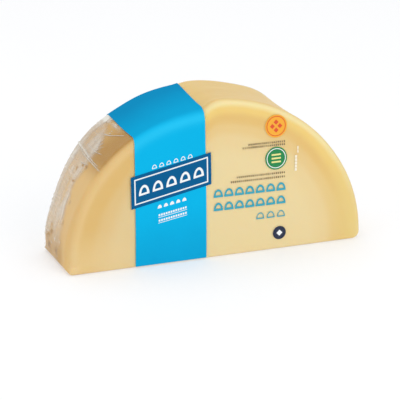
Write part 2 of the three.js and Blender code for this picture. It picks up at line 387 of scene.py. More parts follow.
def apply_tree(piece, tree, material, sizes):
    """Runs a Geometry Nodes tree on a piece and keeps the result as its plain mesh."""
    modifier = piece.modifiers.new("Build", "NODES")
    modifier.node_group = tree
    sockets = {
        item.name: item.identifier
        for item in tree.interface.items_tree
        if item.item_type == "SOCKET" and item.in_out == "INPUT"
    }
    for name, value in {**sizes, "Material": material}.items():
        modifier[sockets[name]] = value
    piece.update_tag()
    bpy.context.view_layer.update()
    depsgraph = bpy.context.evaluated_depsgraph_get()
    old = piece.data
    mesh = bpy.data.meshes.new_from_object(
        piece.evaluated_get(depsgraph), preserve_all_data_layers=True, depsgraph=depsgraph
    )
    piece.modifiers.remove(modifier)
    piece.data = mesh
    bpy.data.meshes.remove(old)
    mesh.name = piece.name
    mesh.materials.clear()
    mesh.materials.append(material)
    mesh.polygons.foreach_set("material_index", [0] * len(mesh.polygons))
    return piece


def block_tree():
    """The closed skin of the half-moon, grown outwards by a distance.

    A flat grid is wrapped round it: its columns run anticlockwise along the base,
    the right heel, the arc and the left heel, and its rows run from the middle of
    the back face over the rim to the middle of the front face.
    """
    sizes = {
        "Radius": 0.1, "Centre Height": 0.004, "Thickness": 0.06, "Left Heel": 0.003,
        "Right Heel": 0.006, "Rim Rounding": 0.004, "Base Rounding": 0.002, "Face Crown": 0.001,
        "Face Middle": 0.04, "Waist": 0.001, "Grow": 0.0, "Unevenness": 0.0, "Seed": 0,
        "Centre X": 0.0, "Middle Y": 0.0, "Base Columns": 24, "Round Columns": 300,
        "Face Rows": 8, "Edge Rows": 6, "Rim Rows": 24,
    }
    sizes.update({name: swell[1] for name, swell in SWELLS.items()})
    sizes.update({name: edge[0] for name, edge in ROUNDER_EDGES.items()})
    g = ShapeTree("Half-moon block", sizes)
    radius, centre = g["Radius"], g["Centre Height"]
    half_pi = math.pi / 2

    def heel_reach(heel):
        return g.root((radius - heel) ** 2.0 - (heel - centre) ** 2.0)

    def heel_angle(heel):
        return g.maths("ARCTAN2", heel - centre, heel_reach(heel))

    left, right = g["Left Heel"], g["Right Heel"]
    left_end = math.pi - heel_angle(left)
    right_end = heel_angle(right)
    right_run = right * (right_end + half_pi)
    arc_run = radius * (left_end - right_end)
    left_run = left * (1.5 * math.pi - left_end)

    flat_x, flat_y, _ = g.split(g.add("GeometryNodeInputPosition"))
    column = (flat_x + 0.5) * (g["Base Columns"] + g["Round Columns"])
    base_share = g.clamp(column / g["Base Columns"])
    run = (right_run + arc_run + left_run) * g.clamp((column - g["Base Columns"]) / g["Round Columns"])
    turns = [
        g.clamp(run / right, 0.0, right_end + half_pi) - half_pi,
        g.clamp((run - right_run) / radius, 0.0, left_end - right_end) + right_end,
        g.clamp((run - right_run - arc_run) / left, 0.0, 1.5 * math.pi - left_end) + left_end,
    ]
    starts = [-half_pi, right_end, left_end]
    x = base_share * (heel_reach(left) + heel_reach(right)) - heel_reach(left)
    z = 0.0
    facing = -math.pi
    for bend, start, turn in zip((right, radius, left), starts, turns):
        x = x + bend * (g.cos(turn) - g.cos(start))
        z = bend * (g.sin(turn) - g.sin(start)) + z
        facing = turn + facing
    facing = facing - right_end - left_end + math.pi
    out_x, out_z = g.cos(facing), g.sin(facing)

    rows = (g["Face Rows"] + g["Edge Rows"]) * 2 + g["Rim Rows"]
    row = (flat_y + 0.5) * rows
    side = g.maths("SIGN", -flat_y)
    from_middle = g.maths("MINIMUM", row, rows - row)
    out = g.clamp(from_middle / g["Face Rows"])
    tilt = (1.0 - g.clamp((from_middle - g["Face Rows"]) / g["Edge Rows"])) * half_pi
    over = g.clamp((from_middle - g["Face Rows"] - g["Edge Rows"]) * 2 / g["Rim Rows"])

    above = g.maths("MAXIMUM", z - centre, 0.0)
    angle = g.maths("ARCTAN2", above, x) * (180 / math.pi)
    half = g["Thickness"] * 0.5
    rim_rounding = g["Rim Rounding"]
    for name, (_, at, before, after) in ROUNDER_EDGES.items():
        rim_rounding = rim_rounding + g[name] * g.bell(angle, at, before, after)
    edge = g.smooth(out_z, -0.9, 0.25) * (rim_rounding - g["Base Rounding"]) + g["Base Rounding"]
    depth = (half - g["Face Crown"] - edge * (1.0 - g.sin(tilt))) * (1.0 - over)
    back = side * depth / half

    towards_back = g.smooth(back, -1.0, 1.0)
    relief = g["Waist"] * g.sin(angle * (math.pi / 180)) * (back * back - 1.0)
    for name, (face, _, at, before, after) in SWELLS.items():
        towards = towards_back if face == "back" else 1.0 - towards_back
        relief = relief + towards * g[name] * g.bell(angle, at, before, after)
    x = x + x / radius * relief + out_x * g["Grow"]
    z = z + above / radius * relief + out_z * g["Grow"]

    to_middle = g["Face Middle"] - z
    reach = g.root(x * x + to_middle * to_middle)
    square_on = g.maths("MAXIMUM", (x * out_x - to_middle * out_z) / reach, 0.35)
    inset = edge * (1.0 - g.cos(tilt)) / square_on / reach
    x = (x - x * inset) * out
    z = g["Face Middle"] - to_middle * (1.0 - inset) * out
    y = side * (depth + g["Face Crown"] * (1.0 - out * out) + g["Grow"] * g.sin(tilt)) + g["Middle Y"]
    from_rim = radius + relief - g.root(x * x + (z - centre) * (z - centre))

    counts = {
        "Size X": 1.0, "Size Y": 1.0,
        "Vertices X": g["Base Columns"] + g["Round Columns"] + 1.0, "Vertices Y": rows + 1.0,
    }
    grid = g.add("GeometryNodeMeshGrid", counts)
    for name, value in (("from_rim", from_rim), ("on_face", g.sin(tilt))):
        known = {"Geometry": grid, "Name": name, "Value": value}
        grid = g.add("GeometryNodeStoreNamedAttribute", known, data_type="FLOAT", domain="POINT")
    place = g.vector(x + g["Centre X"], y, z)
    wrapped = g.add("GeometryNodeSetPosition", {"Geometry": grid, "Position": place})
    closed = g.add("GeometryNodeMergeByDistance", {"Geometry": wrapped, "Distance": SKIN_WELD})

    place = g.add("GeometryNodeInputPosition")
    wave = (g.noise(place, 22.0, 1.0, 0.4, g["Seed"]) - 0.5) * 2.0 * g["Unevenness"]
    normal = g.add("GeometryNodeInputNormal")
    _, _, up = g.split(normal)
    scaled = {0: normal, "Scale": wave * g.smooth(up, -0.9, -0.4)}
    push = g.add("ShaderNodeVectorMath", scaled, operation="SCALE")
    waved = g.add("GeometryNodeSetPosition", {"Geometry": closed, "Offset": push})
    return g.finish(g.add("GeometryNodeSetShadeSmooth", {"Geometry": waved}))


def block_sizes(scene, grow, **counts):
    """Inputs of the block's tree for a skin that lies a distance outside the block."""
    block = scene.half_moon_block
    names = {key: block.bl_rna.properties[key].name for key in BlockSettings.__annotations__}
    sizes = {name: getattr(block, key) for key, name in names.items()}
    return {**sizes, "Grow": grow, "Centre X": CENTRE_X, "Middle Y": MIDDLE_Y, **counts}


def new_piece(name, mesh=None):
    piece = bpy.data.objects.new(name, mesh or bpy.data.meshes.new(name))
    bpy.context.scene.collection.objects.link(piece)
    return piece


def shared_tree(name, build):
    """The node tree of that name, built the first time that it is asked for."""
    return bpy.data.node_groups.get(name) or build()


def make_skin(name, scene, material, grow, **counts):
    tree = shared_tree("Half-moon block", block_tree)
    return apply_tree(new_piece(name), tree, material, block_sizes(scene, grow, **counts))


def settle(piece, slot, *nodes):
    """Attaches the finished piece to what it rides on and hides the solids that it stands for; the slot for
    its finish is not used.
    """
    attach(piece, BODY)
    if nodes:
        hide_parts(*nodes)


# ---- Places on the pack ----


class Surface:
    """Finds places on the outside of a closed skin."""

    REACH = 1.0  # rays start this far out

    def __init__(self, piece, centre_height):
        mesh = piece.data
        corners = [vertex.co for vertex in mesh.vertices]
        self.tree = BVHTree.FromPolygons(corners, [face.vertices for face in mesh.polygons])
        self.centre_height = centre_height

    def front(self, x, z):
        """The y of the front face at a place given from the arc's centre and the base."""
        start = Vector((x, -self.REACH, z))
        return self.tree.ray_cast(start, Vector((0, 1, 0)))[0].y

    def rim(self, angle, depth):
        """The point of the rim at an angle and a depth."""
        out = Vector((math.cos(math.radians(angle)), 0, math.sin(math.radians(angle))))
        middle = Vector((CENTRE_X, MIDDLE_Y + depth, self.centre_height))
        return self.tree.ray_cast(middle + out * self.REACH, -out)[0]


def read_places(mesh):
    places = np.empty(len(mesh.vertices) * 3, np.float32)
    mesh.vertices.foreach_get("co", places)
    return places.reshape(-1, 3).astype(float)


def write_places(mesh, places):
    mesh.vertices.foreach_set("co", places.astype(np.float32).ravel())
    mesh.update()


def read_values(mesh, name):
    values = np.empty(len(mesh.vertices), np.float32)
    mesh.attributes[name].data.foreach_get("value", values)
    return values.astype(float)


def smooth_step(value, low, high):
    t = np.clip((value - low) / (high - low), 0, 1)
    return t * t * (3 - 2 * t)


def mix(first, second, t):
    return first + (second - first) * t


def scatter(index):
    """Repeatable scatter from 0 to 1, one number for each index."""
    value = math.sin(index * 12.9898) * 43758.5453
    return value - math.floor(value)


# ---- Cheese ----


def finish_material(g, shader_inputs):
    """Ends a material's node tree in one shader with those inputs."""
    shader = g.add("ShaderNodeBsdfPrincipled", shader_inputs)
    g.add("ShaderNodeOutputMaterial", {"Surface": shader})


def new_material(name):
    material = bpy.data.materials.new(name)
    material.use_nodes = True
    material.node_tree.nodes.clear()
    return material, Graph(material.node_tree)


def bump(g, height, distance, strength=1.0):
    return g.add("ShaderNodeBump", {"Height": height, "Distance": distance, "Strength": strength})


def ramp(g, value, stops):
    """A colour ramp over 0 to 1 from a list of places and colours."""
    node = g.add("ShaderNodeValToRGB", {"Fac": value}).socket.node
    node.color_ramp.interpolation = "EASE"
    while len(node.color_ramp.elements) < len(stops):
        node.color_ramp.elements.new(1.0)
    for element, (place, shade) in zip(node.color_ramp.elements, stops):
        element.position = place
        element.color = (*shade, 1)
    return Term(g, node.outputs["Color"])


ZONE_DEPTH = 40 * MM  # from the rind to where the paste has its own colour
EDGE_TURN = (0.26, 0.95)  # how squarely the skin faces front or back where rim gives way to face
LEFT_HALF = (-15 * MM, -45 * MM)  # x over which the right half's colours give way to the left's
LOW_ANGLES = (42.0, 10.0)  # over which a face's right foot takes on its own colour
LOW_DEPTHS = (30 * MM, 8 * MM)  # from the rind, over which the same colour sets in
LEFT_FOOT = (34 * MM, 6 * MM)  # heights over which a face's left foot turns paler
STRIPE_SCALE = 420.0
BESIDE_BAND = (148.0, 137.0)  # angles over which painted shade darkens the rind towards the band
BESIDE_BAND_DEPTHS = (8 * MM, -14 * MM)  # over which that painted shade deepens towards the front
HEEL_HEIGHTS = (26 * MM, 9 * MM)  # over which painted shade darkens the rind towards the left heel
HEEL_DEPTHS = (-22 * MM, -10 * MM)


class PackPlaces:
    """Where a point of the pack is, as shader terms that the materials share."""

    def __init__(self, g, block):
        self.place = g.add("ShaderNodeTexCoord", out="Object")
        x, y, z = g.split(self.place)
        self.x = x - CENTRE_X
        self.y = y - MIDDLE_Y
        self.z = z
        up = g.maths("MAXIMUM", z - block.centre_height, 0.0)
        self.angle = g.maths("ARCTAN2", up, self.x) * (180 / math.pi)
        self.distance = g.root(self.x * self.x + up * up)
        self.inside = g.add("ShaderNodeAttribute", out="Fac", attribute_name="from_rim")
        squarely = g.add("ShaderNodeAttribute", out="Fac", attribute_name="on_face")
        self.on_face = g.smooth(squarely, *EDGE_TURN)
        self.left = g.smooth(self.x, *LEFT_HALF)


def face_colour(g, at, tints, wander):
    """Zones of a cut face from its edge inwards, paler on the right than on the left, with a painted
    highlight along the edge.
    """
    zone = g.clamp((at.inside + wander) / ZONE_DEPTH)
    right = [
        # the first stop is a painted highlight along the rounded edge
        (0.0, tints.edge), (0.055, mix_colour(tints.edge, tints.zone, 0.25)), (0.16, tints.zone),
        (0.31, tints.gold), (0.46, mix_colour(tints.gold, tints.paste, 0.4)),
        (0.66, mix_colour(tints.gold, tints.paste, 0.8)), (1.0, tints.paste),
    ]
    left = [
        (0.0, tints.left_edge), (0.13, tints.left_zone), (0.24, tints.left_gold),
        (0.36, tints.left_gold), (0.52, mix_colour(tints.left_gold, tints.left_paste, 0.45)),
        (0.8, tints.left_paste), (1.0, tints.left_paste),
    ]
    pale = ramp(g, zone, right)
    low_down = g.smooth(at.angle, *LOW_ANGLES) * g.smooth(at.inside, *LOW_DEPTHS) * 0.8
    pale = g.blend(low_down, pale, tints.low_zone)
    tanned = g.blend(g.smooth(at.z, *LEFT_FOOT) * 0.6, ramp(g, zone, left), tints.left_low)
    return g.blend(at.left, pale, tanned)


def rim_colour(g, at, tints):
    """Tan rind with faint stripes along the arc, with painted shade beside the band and at the left heel.
    """
    around = g.vector(at.angle * 0.04, at.y * STRIPE_SCALE, at.distance * 60.0)
    stripes = g.noise(around, 1.0, 3.0, 0.6, 5.0)
    rim = g.blend(g.smooth(stripes, 0.3, 0.7), tints.rind, tints.rind_stripe)
    rim = g.blend(at.left, rim, tints.left_rind)
    towards_front = g.smooth(at.y, *BESIDE_BAND_DEPTHS) * 0.5 + 0.5
    painted_shade_beside_band = g.smooth(at.angle, *BESIDE_BAND) * towards_front
    # painted shade low on the left flank, towards the heel
    heel = g.smooth(at.z, *HEEL_HEIGHTS) * g.smooth(at.y, *HEEL_DEPTHS) * 0.6
    shade = g.maths("MAXIMUM", painted_shade_beside_band, heel) * at.left
    return g.blend(shade, rim, tints.painted_shade_rind)


def cheese_material(scene):
    """Smooth pale paste, golden towards the rind, with the shine of the film on it."""
    block, tints = scene.half_moon_block, scene.half_moon_colours
    material, g = new_material("Provolone paste")
    at = PackPlaces(g, block)
    curd = g.noise(at.place, 32.0, 3.0, 0.55, 2.0)
    layers = g.vector(at.distance * 300.0, at.angle * 0.03, at.y * 30.0)
    layered = g.noise(layers, 1.0, 3.0, 0.6, 5.0)
    wander = (curd - 0.5) * 5 * MM + (layered - 0.5) * 2.5 * MM
    face = face_colour(g, at, tints, wander * g.smooth(at.inside, 1 * MM, 8 * MM))
    shade = g.blend(at.on_face, rim_colour(g, at, tints), face)
    mottle = g.noise(at.place, 150.0, 4.0, 0.6, 9.0)
    shade = g.blend((mottle - 0.4) * 0.2, shade, tints.paste)

    grain = g.noise(at.place, 900.0, 3.0, 0.6, 3.0)
    finish_material(g, {
        "Base Color": shade,
        "Roughness": (mottle - 0.5) * 0.3 + 0.45,
        "Subsurface Weight": 0.2,
        "Subsurface Radius": (1.0, 0.55, 0.22),
        "Subsurface Scale": 2.5 * MM,
        "Specular IOR Level": 0.1,
        "Coat Weight": 0.06,
        "Coat Roughness": 0.14,
        "Normal": bump(g, grain * 0.4 + layered * 0.6, 0.12 * MM),
    })
    return material


def mix_colour(first, second, t):
    return [mix(a, b, t) for a, b in zip(first, second)]


class HALFMOON_OT_cheese(bpy.types.Operator):
    """Build the block of cheese inside the film"""

    bl_idname = "half_moon.cheese"
    bl_label = "Cheese"

    def execute(self, context):
        scene = context.scene
        counts = {"Base Columns": 40, "Round Columns": 280, "Face Rows": 16, "Edge Rows": 7, "Rim Rows": 32}
        inside = -scene.half_moon_film.gap
        cheese = make_skin("cheese", scene, cheese_material(scene), inside, **counts)
        settle(cheese, "cheese", "sealed_cheese")
        return {"FINISHED"}


# ---- Film ----

LEFT_GATHER = {"first": 125.5, "last": 181, "count": 13, "seed": 3}
RIGHT_GATHER = {"first": 3, "last": 52, "count": 9, "seed": 40}
LONG_PLEAT = {"angle": 141.3, "reach": -26 * MM, "lean": -3.3}
LONG_PLEAT_CLEARANCE = 2.4  # degrees that the other pleats keep from it
PLEAT_REACH = (-6 * MM, 14 * MM)  # depths between which pleats begin
PLEAT_HEIGHTS = (0.55, 1.2)  # lowest and highest, as shares of the height set for a flank
PLEAT_MAX_LEAN = 1.6  # degrees
PLEAT_VALLEY = 0.22  # depth of the valleys beside a crest, as a share of its height
PLEAT_RISE = 0.6  # share of the way to the back edge at which a pleat is full
PLEAT_TAIL = 15 * MM  # how far a pleat runs down the back face
PLEAT_ON_FACE = 0.45  # share of its height that it keeps there
PLEAT_TURN = 3 * MM  # how far before the back edge that part begins
PLEAT_MILK = 0.4  # of the long pleat's crest, folded film with a painted glint on it

# The seam on the left flank, from the band down, as angles and depths.
SEAM = [
    (119, 27 * MM), (123, 24 * MM), (128.8, 7.2 * MM), (136, -5.3 * MM), (143.3, -5.3 * MM),
    (150.8, -1.3 * MM), (155.3, -4.3 * MM), (160.4, -5.1 * MM), (165.2, -8.2 * MM),
    (170, -9.5 * MM), (175, -7 * MM), (184, -3 * MM),
]
SEAM_WIDTH = 0.9 * MM
SEAM_WANDER = 1.6 * MM
SEAM_FRAY = 1.3 * MM
SEAM_MILK = 0.35
SEAM_TAN = 0.25
SHADED_SEAM = 0.3  # share of the seam's height that its brown part keeps
BEHIND_SEAM = (-5.5 * MM, 4.5 * MM)  # from the seam, over which the film turns milky
BEHIND_RIGHT_SEAM = (18 * MM, 26 * MM)  # depths over which it does so on the right flank

RIM_ENDS = (4 * MM, 9 * MM)  # from the rind, over which a face loses the rim's relief
LEFT_BEGINS = (122, 126)  # angles over which the gathered film begins left of the band
RIGHT_ENDS = (50, 78)
HAZE_TAIL = 11 * MM  # how far the haze runs down the back face
HAZE_BACK_EDGE = (17 * MM, 28 * MM)  # depths over which the haze grows thicker
HAZE_THINS = (169, 177)  # angles over which it thins out towards the left heel
RELIEF_HEIGHTS = (0.5 * MM, 6 * MM)  # over which the film's relief sets in above the base
MILKIEST = 0.92  # as a share of quite opaque

# Spots of the gathered film, each with its angle and its depth, how far it reaches round the
# rim and across it, and how much it shows. Depths and reaches across are in millimetres.
CLUMPS = [
    (124.5, 23, 3.5, 8, 1), (125, 17, 1.3, 5, 0.6), (124.8, 5, 0.9, 6, 0.5),
    (132.5, 6, 2.2, 4.5, 0.35), (142.8, 2, 1.2, 5, 0.45), (147, 12, 2.5, 4, 0.6),
    (173, 0, 1, 2.2, 0.5), (172.5, -10.5, 0.8, 1.8, 0.4), (175.5, 6, 0.9, 2.5, 0.5),
]
# hollows: painted shade in the crumpled film, over a browner rind
HOLLOWS = [
    (143.3, -0.8, 0.6, 1.9, 0.9), (143.4, -7, 0.7, 1.9, 0.9), (150.5, 1.5, 0.45, 5, 0.8),
    (149.3, -8.5, 0.7, 1.7, 0.7), (157.3, -9.8, 1, 1.1, 0.8), (165.2, -9.6, 1.4, 1.1, 0.8),
    (171.3, 6.9, 1.7, 2.9, 0.9), (170.8, -6.4, 1.6, 2.6, 0.8), (177.3, 10, 1.4, 4.8, 1),
    (177.3, -4, 1.7, 3.6, 0.9), (174.2, 12.2, 1.4, 3, 0.9), (146.3, 6.5, 1.1, 2.4, 0.6),
]
SEAM_SHADE_BEGINS = (143, 148)  # angles over which the seam turns from white to a brown painted shade
# painted highlight along the film's back edge
BACK_LINE = {"depth": 28 * MM, "width": 1.1 * MM, "begins": (12, 28), "ends": (70, 82)}


def gather(first, last, count, seed, height):
    """Pleats across the rim, scattered along a stretch of it."""
    pitch = (last - first) / count
    least, most = PLEAT_REACH
    return [
        {
            "angle": first + pitch * (i + 0.2 + 0.6 * scatter(seed + i)),
            "reach": mix(least, most, scatter(seed + i + 0.31)),
            "height": height * mix(*PLEAT_HEIGHTS, scatter(seed + i + 0.57)),
            "lean": PLEAT_MAX_LEAN * mix(-1, 1, scatter(seed + i + 0.83)),
        }
        for i in range(count)
    ]


def is_clear_of_long_pleat(pleat):
    ends = (pleat["angle"], pleat["angle"] + pleat["lean"])
    before = LONG_PLEAT["angle"] + LONG_PLEAT["lean"] - LONG_PLEAT_CLEARANCE
    return max(ends) < before or min(ends) > LONG_PLEAT["angle"] + LONG_PLEAT_CLEARANCE


def all_pleats(film):
    left = gather(**LEFT_GATHER, height=film.left_gather)
    right = gather(**RIGHT_GATHER, height=film.right_gather)
    return right + [p for p in left if is_clear_of_long_pleat(p)] + [
        {**LONG_PLEAT, "height": film.long_pleat}
    ]


def pleat_profile(away, half_width):
    """Height across a pleat: its crest, and a valley on each side."""
    steps = [0, 0.5, 1, 1.5, 2]
    heights = [1, 0.3, -PLEAT_VALLEY, -PLEAT_VALLEY * 0.6, 0]
    return np.interp(np.abs(away) / half_width, steps, heights)


def noise_at(places, scale, seed):
    offset = Vector((seed * 7.3, seed * 3.1, seed * 5.7))
    return np.array([noise.noise(Vector(p) * scale + offset) for p in places])


class FilmShape:
    """Heights, milkiness and brown tint of the film, worked out for all its vertices at once; the milkiness
    is partly painted reflection and highlight, the brown tint partly painted shade.
    """

    def __init__(self, scene, mesh):
        self.block, self.film = scene.half_moon_block, scene.half_moon_film
        self.places = places = read_places(mesh)
        self.x = places[:, 0] - CENTRE_X
        self.depth = places[:, 1] - MIDDLE_Y
        self.z = places[:, 2] - self.block.centre_height
        self.angle = np.degrees(np.arctan2(self.z, self.x))
        self.angle = np.where(self.angle < -90, self.angle + 360, self.angle)
        self.distance = np.hypot(self.x, self.z)
        self.inside = read_values(mesh, "from_rim")
        self.half = self.block.thickness / 2
        self.on_rim = 1 - smooth_step(self.inside, *RIM_ENDS)
        self.ragged = np.clip(1 + 1.4 * noise_at(places, 260, 11), 0.3, 3)
        self.height = np.zeros(len(places))
        self.bulge = np.zeros(len(places))  # of the back face
        self.milk = np.zeros(len(places))
        self.tan = np.zeros(len(places))
        wander = noise_at(np.column_stack([self.angle * 0.02, np.zeros((len(places), 2))]), 14, 3)
        self.seam_depth = np.interp(self.angle, *zip(*SEAM)) + wander * SEAM_WANDER
        self.left = smooth_step(self.angle, *LEFT_BEGINS)
        self.right = 1 - smooth_step(self.angle, *RIGHT_ENDS)
        past_seam = self.depth - self.seam_depth + noise_at(places, 190, 13) * SEAM_FRAY
        self.behind = smooth_step(past_seam, *BEHIND_SEAM) * self.left
        self.behind_right = smooth_step(self.depth, *BEHIND_RIGHT_SEAM)

    def fade_inwards(self, reach):
        """1 at the rind, fading over that distance towards the middle of a face."""
        return np.exp(-((np.maximum(self.inside, 0) / reach) ** 2))

    def add_pleat(self, pleat):
        reach = pleat["reach"]
        along = np.clip((self.depth - reach) / (self.half - reach), 0, 1)
        centre = pleat["angle"] + pleat["lean"] * along
        away = np.radians(self.angle - centre) * self.block.radius
        profile = pleat_profile(away, self.film.pleat_width)
        rise = smooth_step(self.depth, reach, mix(reach, self.half, PLEAT_RISE))
        self.height += pleat["height"] * profile * rise * self.on_rim
        crest = np.clip(profile, 0, 1) * rise
        tail = self.fade_inwards(PLEAT_TAIL) * (self.depth > self.half - PLEAT_TURN)
        self.bulge += PLEAT_ON_FACE * pleat["height"] * profile * tail * (1 - self.on_rim)
        # crest whiteness: folded film with a painted glint on it
        strength = PLEAT_MILK * pleat["height"] / self.film.long_pleat
        self.milk = np.maximum(self.milk, strength * crest * np.where(self.on_rim > 0.5, 1, tail))

    def add_seam(self):
        away = (self.depth - self.seam_depth) / SEAM_WIDTH
        line = np.exp(-(away**2)) * self.left * self.on_rim
        patchy = np.clip(0.5 + 1.2 * noise_at(self.places, 130, 8), 0, 1)
        shaded = smooth_step(self.angle, *SEAM_SHADE_BEGINS)
        self.height += self.film.seam * line * patchy * mix(1, SHADED_SEAM, shaded)
        self.milk = np.maximum(self.milk, SEAM_MILK * line * patchy * (1 - shaded))
        self.tan = np.maximum(self.tan, SEAM_TAN * line * patchy * shaded)

    def add_crumple(self):
        across = self.places * np.array([1, 0.35, 1])
        fine = noise_at(across, 420, 1) + 0.5 * noise_at(across, 900, 2)
        broad = noise_at(self.places, 120, 5)
        here = self.behind * np.clip(0.75 + broad, 0.15, 1.3)
        self.height += self.film.crumple * (0.9 * broad + 0.5 * fine) * here * self.on_rim
        self.milk += 0.06 * here * fine

    def add_haze(self):
        # milky gathered film, partly a painted reflection where the flanks are seen at a grazing angle
        around = np.column_stack([self.angle * 0.07, self.depth * 130, self.inside * 40])
        patchy = noise_at(self.places, 55, 6) + 0.8 * noise_at(around, 1, 17)
        back_fade = np.where(self.on_rim > 0.5, 1, self.fade_inwards(HAZE_TAIL))
        at_back = np.where(self.depth > 0, back_fade, self.on_rim)
        thinner_low = 1 - 0.7 * smooth_step(self.angle, *HAZE_THINS)
        back_edge = 0.3 * smooth_step(self.depth, *HAZE_BACK_EDGE)
        haze = self.behind * (0.8 + back_edge + 0.5 * patchy) * at_back * thinner_low
        right = self.right * self.behind_right * (0.35 + 0.4 * patchy) * at_back
        self.milk += self.film.haze * (haze + right)

    def add_back_line(self):
        """The film's tight back edge right of the band, which catches the light."""
        line = np.exp(-(((self.depth - BACK_LINE["depth"]) / BACK_LINE["width"]) ** 2)) * self.on_rim
        line *= smooth_step(self.angle, *BACK_LINE["begins"])
        line *= 1 - smooth_step(self.angle, *BACK_LINE["ends"])
        self.milk = np.maximum(self.milk, self.film.back_line * line)

    def spot(self, angle, depth, around, across, strength):
        """One ragged spot, given as in the lists above."""
        away = ((self.angle - angle) / around) ** 2 + ((self.depth - depth * MM) / (across * MM)) ** 2
        return strength * np.exp(-away * self.ragged) * self.on_rim

    def add_spots(self):
        for clump in CLUMPS:
            self.milk = np.maximum(self.milk, self.spot(*clump))
        creased = np.clip(0.75 + 1.8 * noise_at(self.places * np.array([1, 0.5, 1]), 420, 21), 0, 1)
        for hollow in HOLLOWS:
            # painted shade of a hollow, partly a browner rind
            spot = self.spot(*hollow)
            self.tan = np.maximum(self.tan, spot * creased)
            self.height -= 0.5 * self.film.crumple * spot

    def moved(self):
        out = np.column_stack([self.x, np.zeros(len(self.x)), self.z]) / self.distance[:, None]
        shift = out * self.height[:, None]
        shift[:, 1] += self.bulge
        above_base = smooth_step(self.places[:, 2], *RELIEF_HEIGHTS)[:, None]
        return self.places + shift * above_base


def store(mesh, name, values):
    attribute = mesh.attributes.get(name) or mesh.attributes.new(name, "FLOAT", "POINT")
    attribute.data.foreach_set("value", np.clip(values, 0, 1).astype(np.float32))


def film_material(scene):
    """Clear film, milky where it is gathered; that milkiness is partly painted reflection and highlight,
    and the brown tint partly painted shade.
    """
    tints, film = scene.half_moon_colours, scene.half_moon_film
    material, g = new_material("Shrink film")
    at = PackPlaces(g, scene.half_moon_block)
    milk = g.add("ShaderNodeAttribute", out="Fac", attribute_name="milk")
    tan = g.add("ShaderNodeAttribute", out="Fac", attribute_name="tan")
    around = g.vector(at.angle * 0.12, at.y * 260.0, at.distance * 120.0)
    streaks = g.noise(around, 1.0, 3.0, 0.65, 1.0)
    fine = g.noise(at.place, 1400.0, 2.0, 0.5, 4.0)
    shade = g.blend(g.smooth(milk, 0.55, 0.85), tints.haze, tints.fold)
    # painted shade of the hollows and the brown seam
    shade = g.blend(g.smooth(tan, 0.0, 0.8), shade, tints.crumple)
    alpha = milk * (streaks * 1.1 + 0.45) + film.clear
    alpha = g.clamp(g.maths("MAXIMUM", alpha, tan * 0.6), 0.0, MILKIEST)
    finish_material(g, {
        "Base Color": shade,
        "Roughness": g.clamp(milk * 0.3 + fine * 0.12 + 0.08),
        "Alpha": alpha,
        "Normal": bump(g, streaks * 0.7 + fine * 0.3, 0.06 * MM, 0.5),
    })
    return material


class HALFMOON_OT_film(bpy.types.Operator):
    """Wrap the cheese in film, pleated and milky towards the back of both flanks, that milkiness partly a
    painted reflection
    """

    bl_idname = "half_moon.film"
    bl_label = "Film"

    def execute(self, context):
        scene = context.scene
        counts = {"Base Columns": 30, "Round Columns": 620, "Face Rows": 9, "Edge Rows": 8, "Rim Rows": 88}
        film = make_skin("film", scene, film_material(scene), 0.0, **counts)
        shape = FilmShape(scene, film.data)
        for pleat in all_pleats(scene.half_moon_film):
            shape.add_pleat(pleat)
        shape.add_haze()
        shape.add_seam()
        shape.add_back_line()
        shape.add_crumple()
        shape.add_spots()
        write_places(film.data, shape.moved())
        store(film.data, "milk", shape.milk)
        store(film.data, "tan", shape.tan)
        settle(film, "film", "sealed_cheese")
        return {"FINISHED"}


# Tucks of folded film on the left flank: how broad and how white each is as a share of the
# fullest, then the angles and the depths in millimetres that it runs through.
TUCKS = [
    (0.7, 0.55, [(130.4, 10), (128.8, -1.7), (126.9, -8.8), (125.2, -15.6)]),
    (0.7, 0.5, [(136.5, 12.5), (136.8, 2.4), (136.8, -6), (136.1, -13.4)]),
    (1.0, 0.6, [(139, 20.7), (140.2, 10), (140.6, 0), (140.9, -12.4), (141.1, -21.4), (141.2, -27)]),
    (0.8, 0.45, [(138.2, 14.6), (139.4, 1.5), (140.2, -11.2), (140.4, -22.4)]),
    (0.8, 0.45, [(143.2, 7.4), (142.9, -0.7), (142.1, -7.4)]),
    (0.8, 0.7, [(125, 3.6), (124.6, 2)]),
    (0.8, 0.7, [(127.1, 2.6), (127, 1.2)]),
    (0.6, 0.6, [(124.2, 6), (124, 3)]),
    (0.6, 0.6, [(128.3, 1.4), (128, 0)]),
]
LADDER = {"first": (133.4, 12.5), "last": (136, -2), "rungs": 5, "run": (-3.2, -5.5), "bow": 0.9}
TUCK_STEPS = 8


def ladder_tucks():
    """Short bowed tucks one beside another across the long ones."""
    (first_angle, first_depth), (last_angle, last_depth) = LADDER["first"], LADDER["last"]
    run_angle, run_depth = LADDER["run"]
    tucks = []
    for i in range(LADDER["rungs"]):
        t = i / (LADDER["rungs"] - 1)
        angle, depth = mix(first_angle, last_angle, t), mix(first_depth, last_depth, t)
        reach = mix(0.5, 1.15, scatter(210 + i))
        middle = (angle + reach * run_angle / 2 + LADDER["bow"], depth + reach * run_depth / 2)
        line = [(angle, depth), middle, (angle + reach * run_angle, depth + reach * run_depth)]
        tucks.append((mix(0.5, 0.8, scatter(200 + i)), mix(0.3, 0.55, scatter(230 + i)), line))
    return tucks


